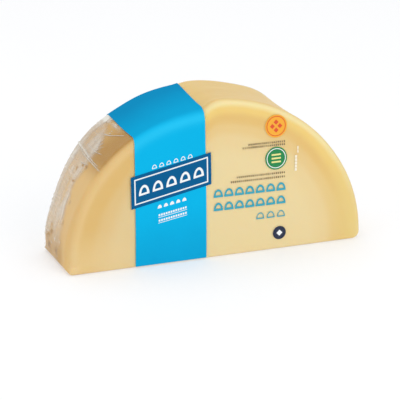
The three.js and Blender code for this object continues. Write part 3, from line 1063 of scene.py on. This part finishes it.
def path_mesh(surface, tucks):
    """Lines on the film, one for each tuck, as a mesh of edges that knows its breadth and whiteness."""
    points, edges, breadth, whiteness = [], [], [], []
    for broad, white, line in tucks:
        first = len(points)
        marks = np.linspace(0, len(line) - 1, TUCK_STEPS * (len(line) - 1) + 1)
        angles = np.interp(marks, range(len(line)), [a for a, _ in line])
        depths = np.interp(marks, range(len(line)), [d * MM for _, d in line])
        points += [surface.rim(a, d) for a, d in zip(angles, depths)]
        edges += [(i, i + 1) for i in range(first, len(points) - 1)]
        breadth += [broad] * len(marks)
        whiteness += [white] * len(marks)
    mesh = bpy.data.meshes.new("tuck lines")
    mesh.from_pydata(points, edges, [])
    store(mesh, "breadth", np.array(breadth) / 2)
    store(mesh, "whiteness", np.array(whiteness))
    return mesh


def tuck_tree():
    """Sweeps a flat three-sided section along each line, thin and clear at both its ends."""
    sizes = {"Width": 0.001, "Height": 0.0005, "Centre X": 0.0, "Centre Height": 0.0, "Sink": 0.00005}
    g = ShapeTree("Film tucks", sizes)
    line = g.add("GeometryNodeMeshToCurve", {"Mesh": g["Geometry"]})
    x, _, z = g.split(g.add("GeometryNodeInputPosition"))
    out = g.vector(x - g["Centre X"], 0.0, z - g["Centre Height"])
    up = g.add("ShaderNodeVectorMath", {0: out}, operation="NORMALIZE")
    line = g.add("GeometryNodeSetCurveNormal", {"Curve": line, "Normal": up}, mode="FREE")
    along = g.add("GeometryNodeSplineParameter", out="Factor")
    full = g.root(g.sin(g.clamp(along) * math.pi)) * 0.95 + 0.05
    breadth = g.add("GeometryNodeInputNamedAttribute", {"Name": "breadth"}, data_type="FLOAT")
    white = g.add("GeometryNodeInputNamedAttribute", {"Name": "whiteness"}, data_type="FLOAT")
    line = g.add("GeometryNodeSetCurveRadius", {"Curve": line, "Radius": full * breadth * 2.0})
    milk = {"Geometry": line, "Name": "milk", "Value": white * full}
    line = g.add("GeometryNodeStoreNamedAttribute", milk, data_type="FLOAT", domain="POINT")
    section = g.add("GeometryNodeCurvePrimitiveCircle", {"Resolution": 6, "Radius": 1.0})
    sx, sy, _ = g.split(g.add("GeometryNodeInputPosition"))
    crest = g.maths("MAXIMUM", sx, -0.15)
    flat = g.vector(crest * g["Height"] - g["Sink"], sy * g["Width"] * 0.5 + crest * g["Height"] * 0.5, 0.0)
    section = g.add("GeometryNodeSetPosition", {"Geometry": section, "Position": flat})
    inputs = {"Curve": line, "Profile Curve": section, "Fill Caps": True}
    swept = g.add("GeometryNodeCurveToMesh", inputs)
    return g.finish(g.add("GeometryNodeSetShadeSmooth", {"Geometry": swept}))


class HALFMOON_OT_tucks(bpy.types.Operator):
    """Lay the small folded tucks of the gathered film over the left flank"""

    bl_idname = "half_moon.tucks"
    bl_label = "Film Tucks"

    def execute(self, context):
        scene = context.scene
        block, film = scene.half_moon_block, scene.half_moon_film
        skin = bpy.data.objects["film"]
        surface = Surface(skin, block.centre_height)
        piece = new_piece("film_tucks", path_mesh(surface, TUCKS + ladder_tucks()))
        sizes = {
            "Width": film.fold_width, "Height": film.fold_height, "Centre X": CENTRE_X,
            "Centre Height": block.centre_height,
        }
        material = skin.data.materials[0]
        apply_tree(piece, shared_tree("Film tucks", tuck_tree), material, sizes)
        settle(piece, "film", "sealed_cheese")
        return {"FINISHED"}


# ---- Labels ----

LABEL_FOOT = (40 * MM, 4 * MM)  # heights over which a label's colour deepens towards the base
LABEL_DEEPENS = (-24 * MM, 24 * MM)  # depths over which painted shade deepens it over the rim
LABEL_LIGHT_LINE = (4.5 * MM, 3.5 * MM)  # from the rind to its painted highlight line, and that line's width
LABEL_CREASE = math.radians(50)  # a turn of its surface sharper than this stays an edge


def cut_away(piece, cuts):
    """Keeps the part of a piece that lies behind every plane, each a point and the way it faces."""
    cutter = bmesh.new()
    cutter.from_mesh(piece.data)
    for point, facing in cuts:
        everything = cutter.verts[:] + cutter.edges[:] + cutter.faces[:]
        bmesh.ops.bisect_plane(
            cutter, geom=everything, plane_co=point, plane_no=facing, clear_outer=True, dist=1e-7
        )
    cutter.to_mesh(piece.data)
    cutter.free()


def thicken(piece, thickness):
    """Gives an open skin its thickness, inwards."""
    solidify = piece.modifiers.new("Thickness", "SOLIDIFY")
    solidify.thickness = thickness
    solidify.offset = -1
    solidify.use_even_offset = True
    bpy.context.view_layer.update()
    depsgraph = bpy.context.evaluated_depsgraph_get()
    mesh = bpy.data.meshes.new_from_object(piece.evaluated_get(depsgraph), depsgraph=depsgraph)
    piece.modifiers.remove(solidify)
    piece.data = mesh


def make_label(name, scene, material, layer, cuts):
    """A label of one thickness that lies on the film, or on the layers of label under it."""
    label = scene.half_moon_label
    outside = (label.lift + label.thickness) * (layer + 1)
    counts = {"Base Columns": 40, "Round Columns": 360, "Face Rows": 24, "Edge Rows": 9, "Rim Rows": 40}
    piece = make_skin(name, scene, material, outside, **counts)
    cut_away(piece, cuts)
    thicken(piece, label.thickness)
    piece.data.shade_smooth()
    piece.data.set_sharp_from_angle(angle=LABEL_CREASE)
    return piece


def printed_film_material(name, scene, shade, painted_shade, painted_highlight):
    """Satin printed film with painted shade over the rim, darker towards the foot, and a painted highlight
    along the front edge.
    """
    material, g = new_material(name)
    at = PackPlaces(g, scene.half_moon_block)
    broad = g.noise(at.place, 30.0, 2.0, 0.5, 7.0)
    fine = g.noise(at.place, 1100.0, 2.0, 0.5, 2.0)
    creases = g.noise(g.vector(at.x, at.y * 0.4, at.z * 0.25), 150.0, 2.0, 0.5, 6.0)
    over_rim = 1.0 - at.on_face
    foot = g.smooth(at.z, *LABEL_FOOT) * 0.35
    # painted shade over the rim
    depth = over_rim * (g.smooth(at.y, *LABEL_DEEPENS) * 0.5 + 0.5)
    tone = g.blend(g.maths("MAXIMUM", depth, foot) + (broad - 0.5) * 0.3, shade, painted_shade)
    painted_highlight_line = g.bell(at.inside, *LABEL_LIGHT_LINE) * (1.0 - over_rim)
    tone = g.blend(painted_highlight_line * 0.65, tone, painted_highlight)
    finish_material(g, {
        "Base Color": tone,
        "Roughness": fine * 0.1 + 0.3,
        "Specular IOR Level": 0.0,
        "Normal": bump(g, creases * 0.85 + fine * 0.15, 0.12 * MM, 0.7),
    })
    return material


class HALFMOON_OT_band(bpy.types.Operator):
    """Lay the blue band over the front, the rim and the back"""

    bl_idname = "half_moon.band"
    bl_label = "Band"

    def execute(self, context):
        scene = context.scene
        label = scene.half_moon_label
        rise = scene.half_moon_block.radius
        lean = Vector((-rise, 0, label.lean))
        cuts = [
            (Vector((band_low.x, 0, 0)), lean),
            (Vector((band_high.x, 0, 0)), Vector((1, 0, 0))),
            (Vector((0, 0, label.foot)), Vector((0, 0, -1))),
        ]
        tints = scene.half_moon_colours
        shades = (tints.band, tints.band_painted_shade, tints.band_painted_highlight)
        material = printed_film_material("Blue band", scene, *shades)
        band = make_label("band", scene, material, 0, cuts)
        settle(band, "band", "band_label")
        return {"FINISHED"}


def panel_height(scene):
    """Height of the panel at one x, from the box of its solid."""
    return (panel_high.z - panel_low.z) - scene.half_moon_label.slope * (panel_high.x - panel_low.x)


def panel_point(scene, across, up):
    """A place on the panel as x and z, across and up from -1 to 1."""
    x = mix(panel_low.x, panel_high.x, (across + 1) / 2)
    rise = scene.half_moon_label.slope * (x - (panel_low.x + panel_high.x) / 2)
    return x, (panel_low.z + panel_high.z) / 2 + rise + up * panel_height(scene) / 2


class HALFMOON_OT_panel(bpy.types.Operator):
    """Lay the sloping dark panel across the band's front"""

    bl_idname = "half_moon.panel"
    bl_label = "Panel"

    def execute(self, context):
        scene = context.scene
        slope = scene.half_moon_label.slope
        bottom = panel_point(scene, 0, -1)
        top = panel_point(scene, 0, 1)
        cuts = [
            (Vector((panel_low.x, 0, 0)), Vector((-1, 0, 0))),
            (Vector((panel_high.x, 0, 0)), Vector((1, 0, 0))),
            (Vector((bottom[0], 0, bottom[1])), Vector((slope, 0, -1))),
            (Vector((top[0], 0, top[1])), Vector((-slope, 0, 1))),
            (Vector((0, MIDDLE_Y, 0)), Vector((0, 1, 0))),
        ]
        shade = scene.half_moon_colours.panel
        # the panel's own blue, with a painted shade and a painted highlight made from it
        shades = (shade, mix_colour(shade, (0, 0, 0), 0.15), mix_colour(shade, (1, 1, 1), 0.1))
        material = printed_film_material("Dark panel", scene, *shades)
        panel = make_label("panel", scene, material, 1, cuts)
        settle(panel, "panel", "name_panel")
        return {"FINISHED"}


# ---- Ink ----


def plain_shape(corners):
    """A flat shape that faces the front, from its corners as x and z, anticlockwise."""
    return [(x, 0, z) for x, z in corners], [tuple(range(len(corners)))]


def round_corners(radius, count, first=0.0, last=360.0):
    """Corners along an arc; a whole circle leaves its last one out."""
    angles = np.radians(np.linspace(first, last, count, endpoint=last - first < 360))
    return [(radius * math.cos(a), radius * math.sin(a)) for a in angles]


def diamond(width, height):
    return [(width / 2, 0), (0, height / 2), (-width / 2, 0), (0, -height / 2)]


def block_corners(width, height):
    right, top = width / 2, height / 2
    return [(right, -top), (right, top), (-right, top), (-right, -top)]


def sheared(corners, slope):
    return [(x, z + slope * x) for x, z in corners]


def inwards(places, stroke):
    """Places along one axis, drawn towards their middle so that the outermost move by the stroke."""
    middle, reach = (max(places) + min(places)) / 2, (max(places) - min(places)) / 2
    return [middle + (place - middle) * (1 - stroke / reach) for place in places]


def frame_shape(outer, stroke):
    """A flat frame with the given outer corners."""
    inner = zip(*(inwards(places, stroke) for places in zip(*outer)))
    count = len(outer)
    faces = [(i, (i + 1) % count, count + (i + 1) % count, count + i) for i in range(count)]
    return [(x, 0, z) for x, z in [*outer, *inner]], faces


def dome(width, height, slope=0.0):
    """Corners of half an oval that stands on its flat side."""
    return [(x * width / 2, z * height + slope * x * width / 2) for x, z in round_corners(1, 15, 0, 180)]


def row_tree():
    """Copies of one flat shape along a straight row or round a ring, given the ink's thickness."""
    sizes = {
        "Count": 1, "Start": (0.0, 0.0, 0.0), "Step": (0.001, 0.0, 0.0), "Ring": 0.0,
        "Narrowest": 1.0, "Widest": 1.0, "Ink": 0.00005, "Seed": 0,
    }
    g = ShapeTree("Printed row", sizes)
    nodes = {"Count": g["Count"], "Start Location": g["Start"], "Offset": g["Step"]}
    row = g.add("GeometryNodeMeshLine", nodes)
    index = g.add("GeometryNodeInputIndex")
    turn = index * (2 * math.pi) / g["Count"]
    round_about = g.vector(g.sin(turn) * g["Ring"], 0.0, g.cos(turn) * g["Ring"])
    points = g.add("GeometryNodeSetPosition", {"Geometry": row, "Offset": round_about})
    faced = g.vector(0.0, turn * g.maths("GREATER_THAN", g["Ring"], 0.0), 0.0)
    spread = g.add("FunctionNodeRandomValue", out=1, data_type="FLOAT")
    node = spread.socket.node
    sockets = {s.identifier: s for s in node.inputs}
    g.feed(sockets["Min_001"], g["Narrowest"])
    g.feed(sockets["Max_001"], g["Widest"])
    g.feed(sockets["Seed"], g["Seed"])
    inputs = {
        "Points": points, "Instance": g["Geometry"], "Rotation": faced,
        "Scale": g.vector(spread, 1.0, 1.0),
    }
    copies = g.add("GeometryNodeInstanceOnPoints", inputs)
    flat = g.add("GeometryNodeRealizeInstances", {"Geometry": copies})
    forwards = g.vector(0.0, -1.0, 0.0)
    inputs = {"Mesh": flat, "Offset": forwards, "Offset Scale": g["Ink"], "Individual": False}
    lifted = g.add("GeometryNodeExtrudeMesh", inputs)
    turned = g.add("GeometryNodeFlipFaces", {"Mesh": flat})
    join = g.tree.nodes.new("GeometryNodeJoinGeometry")
    for part in (lifted, turned):
        g.tree.links.new(part.socket, join.inputs[0])
    joined = Term(g, join.outputs[0])
    return g.finish(g.add("GeometryNodeMergeByDistance", {"Geometry": joined, "Distance": INK_WELD}))


class Printer:
    """Prints rows of flat shapes on the front face and joins those of one piece."""

    CLEARANCE = 0.03 * MM  # from what a shape is printed on to the ink's back

    def __init__(self, scene):
        self.scene = scene
        self.label = scene.half_moon_label
        skin = make_skin("bare front", scene, None, 0.0, **{"Round Columns": 240, "Rim Rows": 8})
        self.surface = Surface(skin, scene.half_moon_block.centre_height)
        bpy.data.objects.remove(skin)

    def row(self, shape, material, start, step=(0.0, 0.0), count=1, ring=0.0, widths=(1.0, 1.0), seed=0,
            layer=0):
        """One row, laid on the film or on the labels under it; start is its first middle as x and z."""
        points, faces = shape
        mesh = bpy.data.meshes.new("motif")
        mesh.from_pydata(points, [], faces)
        piece = new_piece("row", mesh)
        sizes = {
            "Count": count, "Start": (start[0], 0.0, start[1]), "Step": (step[0], 0.0, step[1]),
            "Ring": ring, "Narrowest": widths[0], "Widest": widths[1], "Ink": self.label.ink, "Seed": seed,
        }
        apply_tree(piece, shared_tree("Printed row", row_tree), material, sizes)
        places = read_places(piece.data)
        over = layer * (self.label.lift + self.label.thickness) + self.CLEARANCE
        for place in places:
            place[1] += self.surface.front(place[0], place[2]) - over
        write_places(piece.data, places)
        return piece

    def join(self, name, rows, slot):
        """Joins rows into one named piece."""
        joined = bmesh.new()
        materials = []
        for row in rows:
            material = row.data.materials[0]
            if material not in materials:
                materials.append(material)
            first = len(joined.faces)
            joined.from_mesh(row.data)
            joined.faces.ensure_lookup_table()
            for face in joined.faces[first:]:
                face.material_index = materials.index(material)
            bpy.data.objects.remove(row)
        mesh = bpy.data.meshes.new(name)
        joined.to_mesh(mesh)
        joined.free()
        for material in materials:
            mesh.materials.append(material)
        piece = new_piece(name, mesh)
        settle(piece, slot)
        return piece


def ink_material(name, shade):
    """Flat printing ink, slightly uneven in cover."""
    material, g = new_material(name)
    place = g.add("ShaderNodeTexCoord", out="Object")
    cover = g.noise(place, 700.0, 3.0, 0.6, 1.0)
    tone = g.blend(cover, mix_colour(shade, (0, 0, 0), 0.06), mix_colour(shade, (1, 1, 1), 0.05))
    finish_material(g, {
        "Base Color": tone,
        "Roughness": cover * 0.15 + 0.35,
        "Specular IOR Level": 0.0,
        "Normal": bump(g, cover, 0.02 * MM, 0.4),
    })
    return material


def from_centre(x, z):
    """A place on the front face in millimetres from the arc's centre and the base."""
    return CENTRE_X + x * MM, z * MM


PRINT_SLOPE = -0.01  # of the rows right of the band


class HALFMOON_OT_panel_print(bpy.types.Operator):
    """Print the panel: a row of half-moons inside a thin white frame"""

    bl_idname = "half_moon.panel_print"
    bl_label = "Panel Print"

    FRAME_LINE = 0.8 * MM
    MARGIN = 0.76  # of the frame, from the panel's middle line out to its edge
    SIDE = 0.92
    MOONS = 5
    MOON_WIDTH = 7.0 * MM
    MOON_HEIGHT = 6.4 * MM
    MOON_STROKE = 1.6 * MM
    MOON_FOOT = -0.3  # where they stand, from the panel's middle line down to its edge at -1
    END_ROOM = 0.4  # of a pitch, left over at the two ends of their row together
    SEGMENTS = 14  # of a long line, so that it follows the bulge
    SIDE_SEGMENTS = 4

    def execute(self, context):
        scene = context.scene
        printer = Printer(scene)
        tints = scene.half_moon_colours
        white = ink_material("White ink", tints.white)
        slope = scene.half_moon_label.slope
        half_width = (panel_high.x - panel_low.x) / 2
        long_run = 2 * self.SIDE * half_width
        run = long_run / self.SEGMENTS
        corners = [(x + run / 2, z) for x, z in block_corners(run, self.FRAME_LINE)]
        dash = plain_shape(sheared(corners, slope))
        rise = (self.MARGIN * panel_height(scene) - self.FRAME_LINE) / self.SIDE_SEGMENTS
        upright = plain_shape(block_corners(self.FRAME_LINE, rise))
        pitch = long_run / (self.MOONS + self.END_ROOM)
        moon = frame_shape(dome(self.MOON_WIDTH, self.MOON_HEIGHT, slope), self.MOON_STROKE)
        start = panel_point(scene, -pitch * (self.MOONS - 1) / 2 / half_width, self.MOON_FOOT)
        rows = [printer.row(moon, white, start, (pitch, slope * pitch), self.MOONS, layer=2)]
        for up in (-self.MARGIN, self.MARGIN):
            start = panel_point(scene, -self.SIDE, up)
            rows.append(printer.row(dash, white, start, (run, slope * run), self.SEGMENTS, layer=2))
        side = self.SIDE - self.FRAME_LINE / 2 / half_width
        for across in (-side, side):
            x, z = panel_point(scene, across, -self.MARGIN)
            start = (x, z + (self.FRAME_LINE + rise) / 2)
            rows.append(printer.row(upright, white, start, (0.0, rise), self.SIDE_SEGMENTS, layer=2))
        printer.join("panel_print", rows, "print")
        return {"FINISHED"}


class HALFMOON_OT_band_print(bpy.types.Operator):
    """Print small white rows on the band, above and below the panel"""

    bl_idname = "half_moon.band_print"
    bl_label = "Band Print"

    SLOPE = 0.17
    UPPER_MOON = (3.2 * MM, 2.6 * MM)
    UPPER_STROKE = 0.55 * MM
    UPPER_ROW = {"x": -41.6, "z": 64.4, "pitch": 4.75, "count": 6}
    LOWER_MOON = (2.8 * MM, 2.2 * MM)
    LOWER_ROW = {"x": -38.6, "z": 38.2, "pitch": 4.1, "count": 5}
    BLOCK = (1.1 * MM, 1.3 * MM)
    BLOCK_ROW = {"x": -38.9, "pitch": 1.6, "count": 12}
    BLOCK_HEIGHTS = (33.6, 30.0)
    UNDERLINE = 0.35 * MM
    UNDERLINE_DROP = 1.5

    def execute(self, context):
        scene = context.scene
        self.printer = Printer(scene)
        self.white = bpy.data.materials["White ink"]
        upper = frame_shape(dome(*self.UPPER_MOON, self.SLOPE), self.UPPER_STROKE)
        lower = plain_shape(dome(*self.LOWER_MOON, self.SLOPE))
        rows = [
            self.sloping_row(upper, **self.UPPER_ROW),
            self.sloping_row(lower, **self.LOWER_ROW),
        ]
        block = plain_shape(sheared(block_corners(*self.BLOCK), self.SLOPE))
        dash = block_corners(self.BLOCK_ROW["pitch"] * MM, self.UNDERLINE)
        line = plain_shape(sheared(dash, self.SLOPE))
        for height in self.BLOCK_HEIGHTS:
            rows.append(self.sloping_row(block, z=height, **self.BLOCK_ROW))
            rows.append(self.sloping_row(line, z=height - self.UNDERLINE_DROP, **self.BLOCK_ROW))
        self.printer.join("band_print", rows, "print")
        return {"FINISHED"}

    def sloping_row(self, shape, x, z, pitch, count):
        """A white row on the band from its first middle, in millimetres."""
        step = (pitch * MM, pitch * self.SLOPE * MM)
        return self.printer.row(shape, self.white, from_centre(x, z), step, count, layer=1)


class HALFMOON_OT_seals(bpy.types.Operator):
    """Print the two round seals and the small round mark"""

    bl_idname = "half_moon.seals"
    bl_label = "Seals"

    ON_DISC = 0.3  # share of a label's layer that lies between a disc and the print on it
    SIDES = 48  # of a disc or ring
    SEAL_X = 40.6
    WARM_HEIGHT = 83.0
    GREEN_HEIGHT = 61.8
    SEAL_RADIUS = 7.5 * MM
    RING_RADIUS = 6.6 * MM
    RING_STROKE = 0.5 * MM
    LOZENGE = 3.4 * MM
    LOZENGE_RING = 2.6 * MM
    BAR = (6.4 * MM, 1.1 * MM)
    BAR_PITCH = 2.4
    MARK_PLACE = (43.0, 11.3)
    MARK_RADIUS = 4.5 * MM
    MARK_LOZENGE = 4.2 * MM

    def execute(self, context):
        scene = context.scene
        printer = Printer(scene)
        tints = scene.half_moon_colours
        orange = ink_material("Orange ink", tints.orange)
        red = ink_material("Red ink", tints.red)
        green = ink_material("Green ink", tints.green)
        lemon = ink_material("Lemon ink", tints.lemon)
        navy = ink_material("Navy ink", tints.navy)
        white = bpy.data.materials["White ink"]
        disc = plain_shape(round_corners(self.SEAL_RADIUS, self.SIDES))
        ring = frame_shape(round_corners(self.RING_RADIUS, self.SIDES), self.RING_STROKE)
        lozenge = plain_shape(diamond(self.LOZENGE, self.LOZENGE))
        bar = plain_shape(block_corners(*self.BAR))
        on_disc = {"layer": self.ON_DISC}

        warm = from_centre(self.SEAL_X, self.WARM_HEIGHT)
        rows = [
            printer.row(disc, orange, warm),
            printer.row(ring, red, warm, **on_disc),
            printer.row(lozenge, red, warm, count=4, ring=self.LOZENGE_RING, **on_disc),
        ]
        printer.join("warm_seal", rows, "print")

        cool = from_centre(self.SEAL_X, self.GREEN_HEIGHT)
        top_bar = from_centre(self.SEAL_X, self.GREEN_HEIGHT + self.BAR_PITCH)
        rows = [
            printer.row(disc, green, cool),
            printer.row(ring, white, cool, **on_disc),
            printer.row(bar, lemon, top_bar, (0.0, -self.BAR_PITCH * MM), 3, **on_disc),
        ]
        printer.join("green_seal", rows, "print")

        mark = from_centre(*self.MARK_PLACE)
        disc = plain_shape(round_corners(self.MARK_RADIUS, self.SIDES))
        lozenge = plain_shape(diamond(self.MARK_LOZENGE, self.MARK_LOZENGE))
        rows = [printer.row(disc, navy, mark), printer.row(lozenge, white, mark, **on_disc)]
        printer.join("round_mark", rows, "print")
        return {"FINISHED"}


class HALFMOON_OT_lines(bpy.types.Operator):
    """Print the rows of teal half-moons, the fine grey rows and the small upright row"""

    bl_idname = "half_moon.lines"
    bl_label = "Print Lines"

    # Places and pitches are in millimetres from the arc's centre and the base.
    DOME_START = 0.8
    DOME_PITCH = 7.2
    BOLD_DOME = (6.3 * MM, 5.4 * MM)
    BOLD_STROKE = 1.4 * MM
    BOLD_HEIGHTS = (40.4, 31.5)
    THIN_DOME = (5.4 * MM, 4.4 * MM)
    THIN_STROKE = 0.7 * MM
    THIN_HEIGHT = 22.4
    FINE_BLOCK = (0.7 * MM, 1.2 * MM)
    FINE_WIDTHS = (0.55, 1.1)  # narrowest and widest, as shares of that block's
    FINE_PITCH = 1.35
    FINE_END = 47.0
    FINE_ROWS = ((72.7, 19), (70.8, 22), (52.1, 25), (49.4, 28))  # height and count of each
    SLIM_BLOCK = (0.8 * MM, 2.0 * MM)
    BROAD_BLOCK = (1.5 * MM, 1.8 * MM)

    def execute(self, context):
        scene = context.scene
        printer = Printer(scene)
        tints = scene.half_moon_colours
        teal = ink_material("Teal ink", tints.teal)
        grey = ink_material("Grey ink", tints.grey)
        cream = ink_material("Cream ink", tints.cream)
        bold = frame_shape(dome(*self.BOLD_DOME), self.BOLD_STROKE)
        thin = frame_shape(dome(*self.THIN_DOME), self.THIN_STROKE)
        step = (self.DOME_PITCH * MM, self.DOME_PITCH * PRINT_SLOPE * MM)
        rows = [
            printer.row(bold, teal, from_centre(self.DOME_START, height), step, 7)
            for height in self.BOLD_HEIGHTS
        ]
        place = from_centre(self.DOME_START + 4 * self.DOME_PITCH, self.THIN_HEIGHT)
        rows.append(printer.row(thin, teal, place, step, 3))
        printer.join("teal_lines", rows, "print")

        block = plain_shape(block_corners(*self.FINE_BLOCK))
        step = (self.FINE_PITCH * MM, self.FINE_PITCH * PRINT_SLOPE * MM)
        rows = []
        for i, (height, count) in enumerate(self.FINE_ROWS):
            place = from_centre(self.FINE_END - self.FINE_PITCH * (count - 0.5), height)
            rows.append(printer.row(block, grey, place, step, count, widths=self.FINE_WIDTHS, seed=i))
        printer.join("fine_lines", rows, "print")

        slim = plain_shape(block_corners(*self.SLIM_BLOCK))
        broad = plain_shape(block_corners(*self.BROAD_BLOCK))
        rows = [
            printer.row(slim, cream, from_centre(55.7, 67.2), (0.0, -2.4 * MM), 2),
            printer.row(broad, cream, from_centre(54.4, 61.4), (-0.04 * MM, -2.15 * MM), 5),
        ]
        printer.join("side_mark", rows, "print")
        return {"FINISHED"}


# ---- Studio ----


def softbox(name, place, aim, size, watts):
    light = bpy.data.lights.new(name, "AREA")
    light.shape = "DISK"
    light.size = size
    light.energy = watts
    lamp = bpy.data.objects.new(name, light)
    bpy.context.scene.collection.objects.link(lamp)
    lamp.location = place
    lamp.rotation_euler = (Vector(aim) - Vector(place)).to_track_quat("-Z", "Y").to_euler()


class HALFMOON_OT_stage(bpy.types.Operator):
    """Set up the floor, the camera and soft studio light"""

    bl_idname = "half_moon.stage"
    bl_label = "Stage"

    FLOOR_RADIUS = 4.0
    SENSOR = 36  # width of the camera's, in millimetres
    AIM = (0, 0, 0.05)  # of every softbox
    SOFTBOXES = {  # where each stands and how broad it is
        "key": ((0.45, -1.2, 0.85), 0.9),
        "fill": ((-1.2, -0.6, 0.5), 0.9),
        "top": ((-0.1, 0.25, 1.3), 1.1),
    }

    def add_floor(self, scene):
        mesh = bpy.data.meshes.new("floor")
        corners = [(x * self.FLOOR_RADIUS, y * self.FLOOR_RADIUS, 0) for x, y in round_corners(1, 64)]
        mesh.from_pydata(corners, [], [tuple(range(len(corners)))])
        floor = new_piece("floor", mesh)
        material, g = new_material("Studio floor")
        place = g.add("ShaderNodeTexCoord", out="Object")
        shade = scene.half_moon_colours.floor
        tone = g.blend(g.noise(place, 3.0), shade, mix_colour(shade, (0, 0, 0), 0.02))
        finish_material(g, {
            "Base Color": tone,
            "Roughness": 0.7,
            "Specular IOR Level": 0.1,
            "Emission Color": scene.half_moon_colours.floor_glow,
            "Emission Strength": scene.half_moon_studio.floor_glow,
        })
        mesh.materials.append(material)

    def add_camera(self, scene):
        studio = scene.half_moon_studio
        target = Vector((CENTRE_X, MIDDLE_Y, studio.target_height))
        flat = Vector((math.sin(-studio.azimuth), math.cos(-studio.azimuth), 0))
        right = Vector((flat.y, -flat.x, 0))
        ahead = flat * math.cos(studio.elevation) - Vector((0, 0, math.sin(studio.elevation)))
        up = right.cross(ahead)
        place = target - ahead * studio.distance
        turn = Matrix((right, up, -ahead)).transposed()
        turn = turn @ Matrix.Rotation(-studio.roll, 3, "Z")
        turn = turn @ Matrix.Rotation(studio.pan, 3, "Y") @ Matrix.Rotation(-studio.tilt, 3, "X")
        data = bpy.data.cameras.new("camera")
        data.sensor_width = self.SENSOR
        data.lens = studio.lens
        camera = bpy.data.objects.new("camera", data)
        scene.collection.objects.link(camera)
        camera.matrix_world = Matrix.Translation(place) @ turn.to_4x4()
        scene.camera = camera

    def add_light(self, scene):
        studio = scene.half_moon_studio
        for name, (place, breadth) in self.SOFTBOXES.items():
            softbox(name, place, self.AIM, breadth, getattr(studio, name))
        world = bpy.data.worlds.new("surroundings")
        world.use_nodes = True
        backdrop = world.node_tree.nodes["Background"]
        backdrop.inputs["Color"].default_value = (1, 1, 1, 1)
        backdrop.inputs["Strength"].default_value = studio.sky
        scene.world = world
        scene.view_settings.view_transform = "Standard"

    def execute(self, context):
        self.add_floor(context.scene)
        self.add_camera(context.scene)
        self.add_light(context.scene)
        return {"FINISHED"}


# ---- Panel and registration ----

OPERATORS = [
    HALFMOON_OT_stage,
    HALFMOON_OT_cheese,
    HALFMOON_OT_film,
    HALFMOON_OT_tucks,
    HALFMOON_OT_band,
    HALFMOON_OT_panel,
    HALFMOON_OT_panel_print,
    HALFMOON_OT_band_print,
    HALFMOON_OT_seals,
    HALFMOON_OT_lines,
]


class HALFMOON_PT_pack(bpy.types.Panel):
    """Buttons for each piece and the sizes and colours behind them"""

    bl_idname = "HALFMOON_PT_pack"
    bl_label = "Provolone Half-Moon"
    bl_space_type = "VIEW_3D"
    bl_region_type = "UI"
    bl_category = "Cheese"

    def draw(self, context):
        for operator in OPERATORS:
            self.layout.operator(operator.bl_idname)
        for name, group in SETTINGS.items():
            box = self.layout.box()
            box.label(text=group.__doc__.strip("."))
            for prop in group.__annotations__:
                box.prop(getattr(context.scene, name), prop)


CLASSES = [*SETTINGS.values(), *OPERATORS, HALFMOON_PT_pack]


def register():
    for one in CLASSES:
        bpy.utils.register_class(one)
    for name, group in SETTINGS.items():
        setattr(bpy.types.Scene, name, PointerProperty(type=group))


def unregister():
    for name in SETTINGS:
        delattr(bpy.types.Scene, name)
    for one in reversed(CLASSES):
        bpy.utils.unregister_class(one)


def main():
    register()
    for operator in OPERATORS:
        group, name = operator.bl_idname.split(".")
        getattr(getattr(bpy.ops, group), name)()


if __name__ == "__main__":
    main()
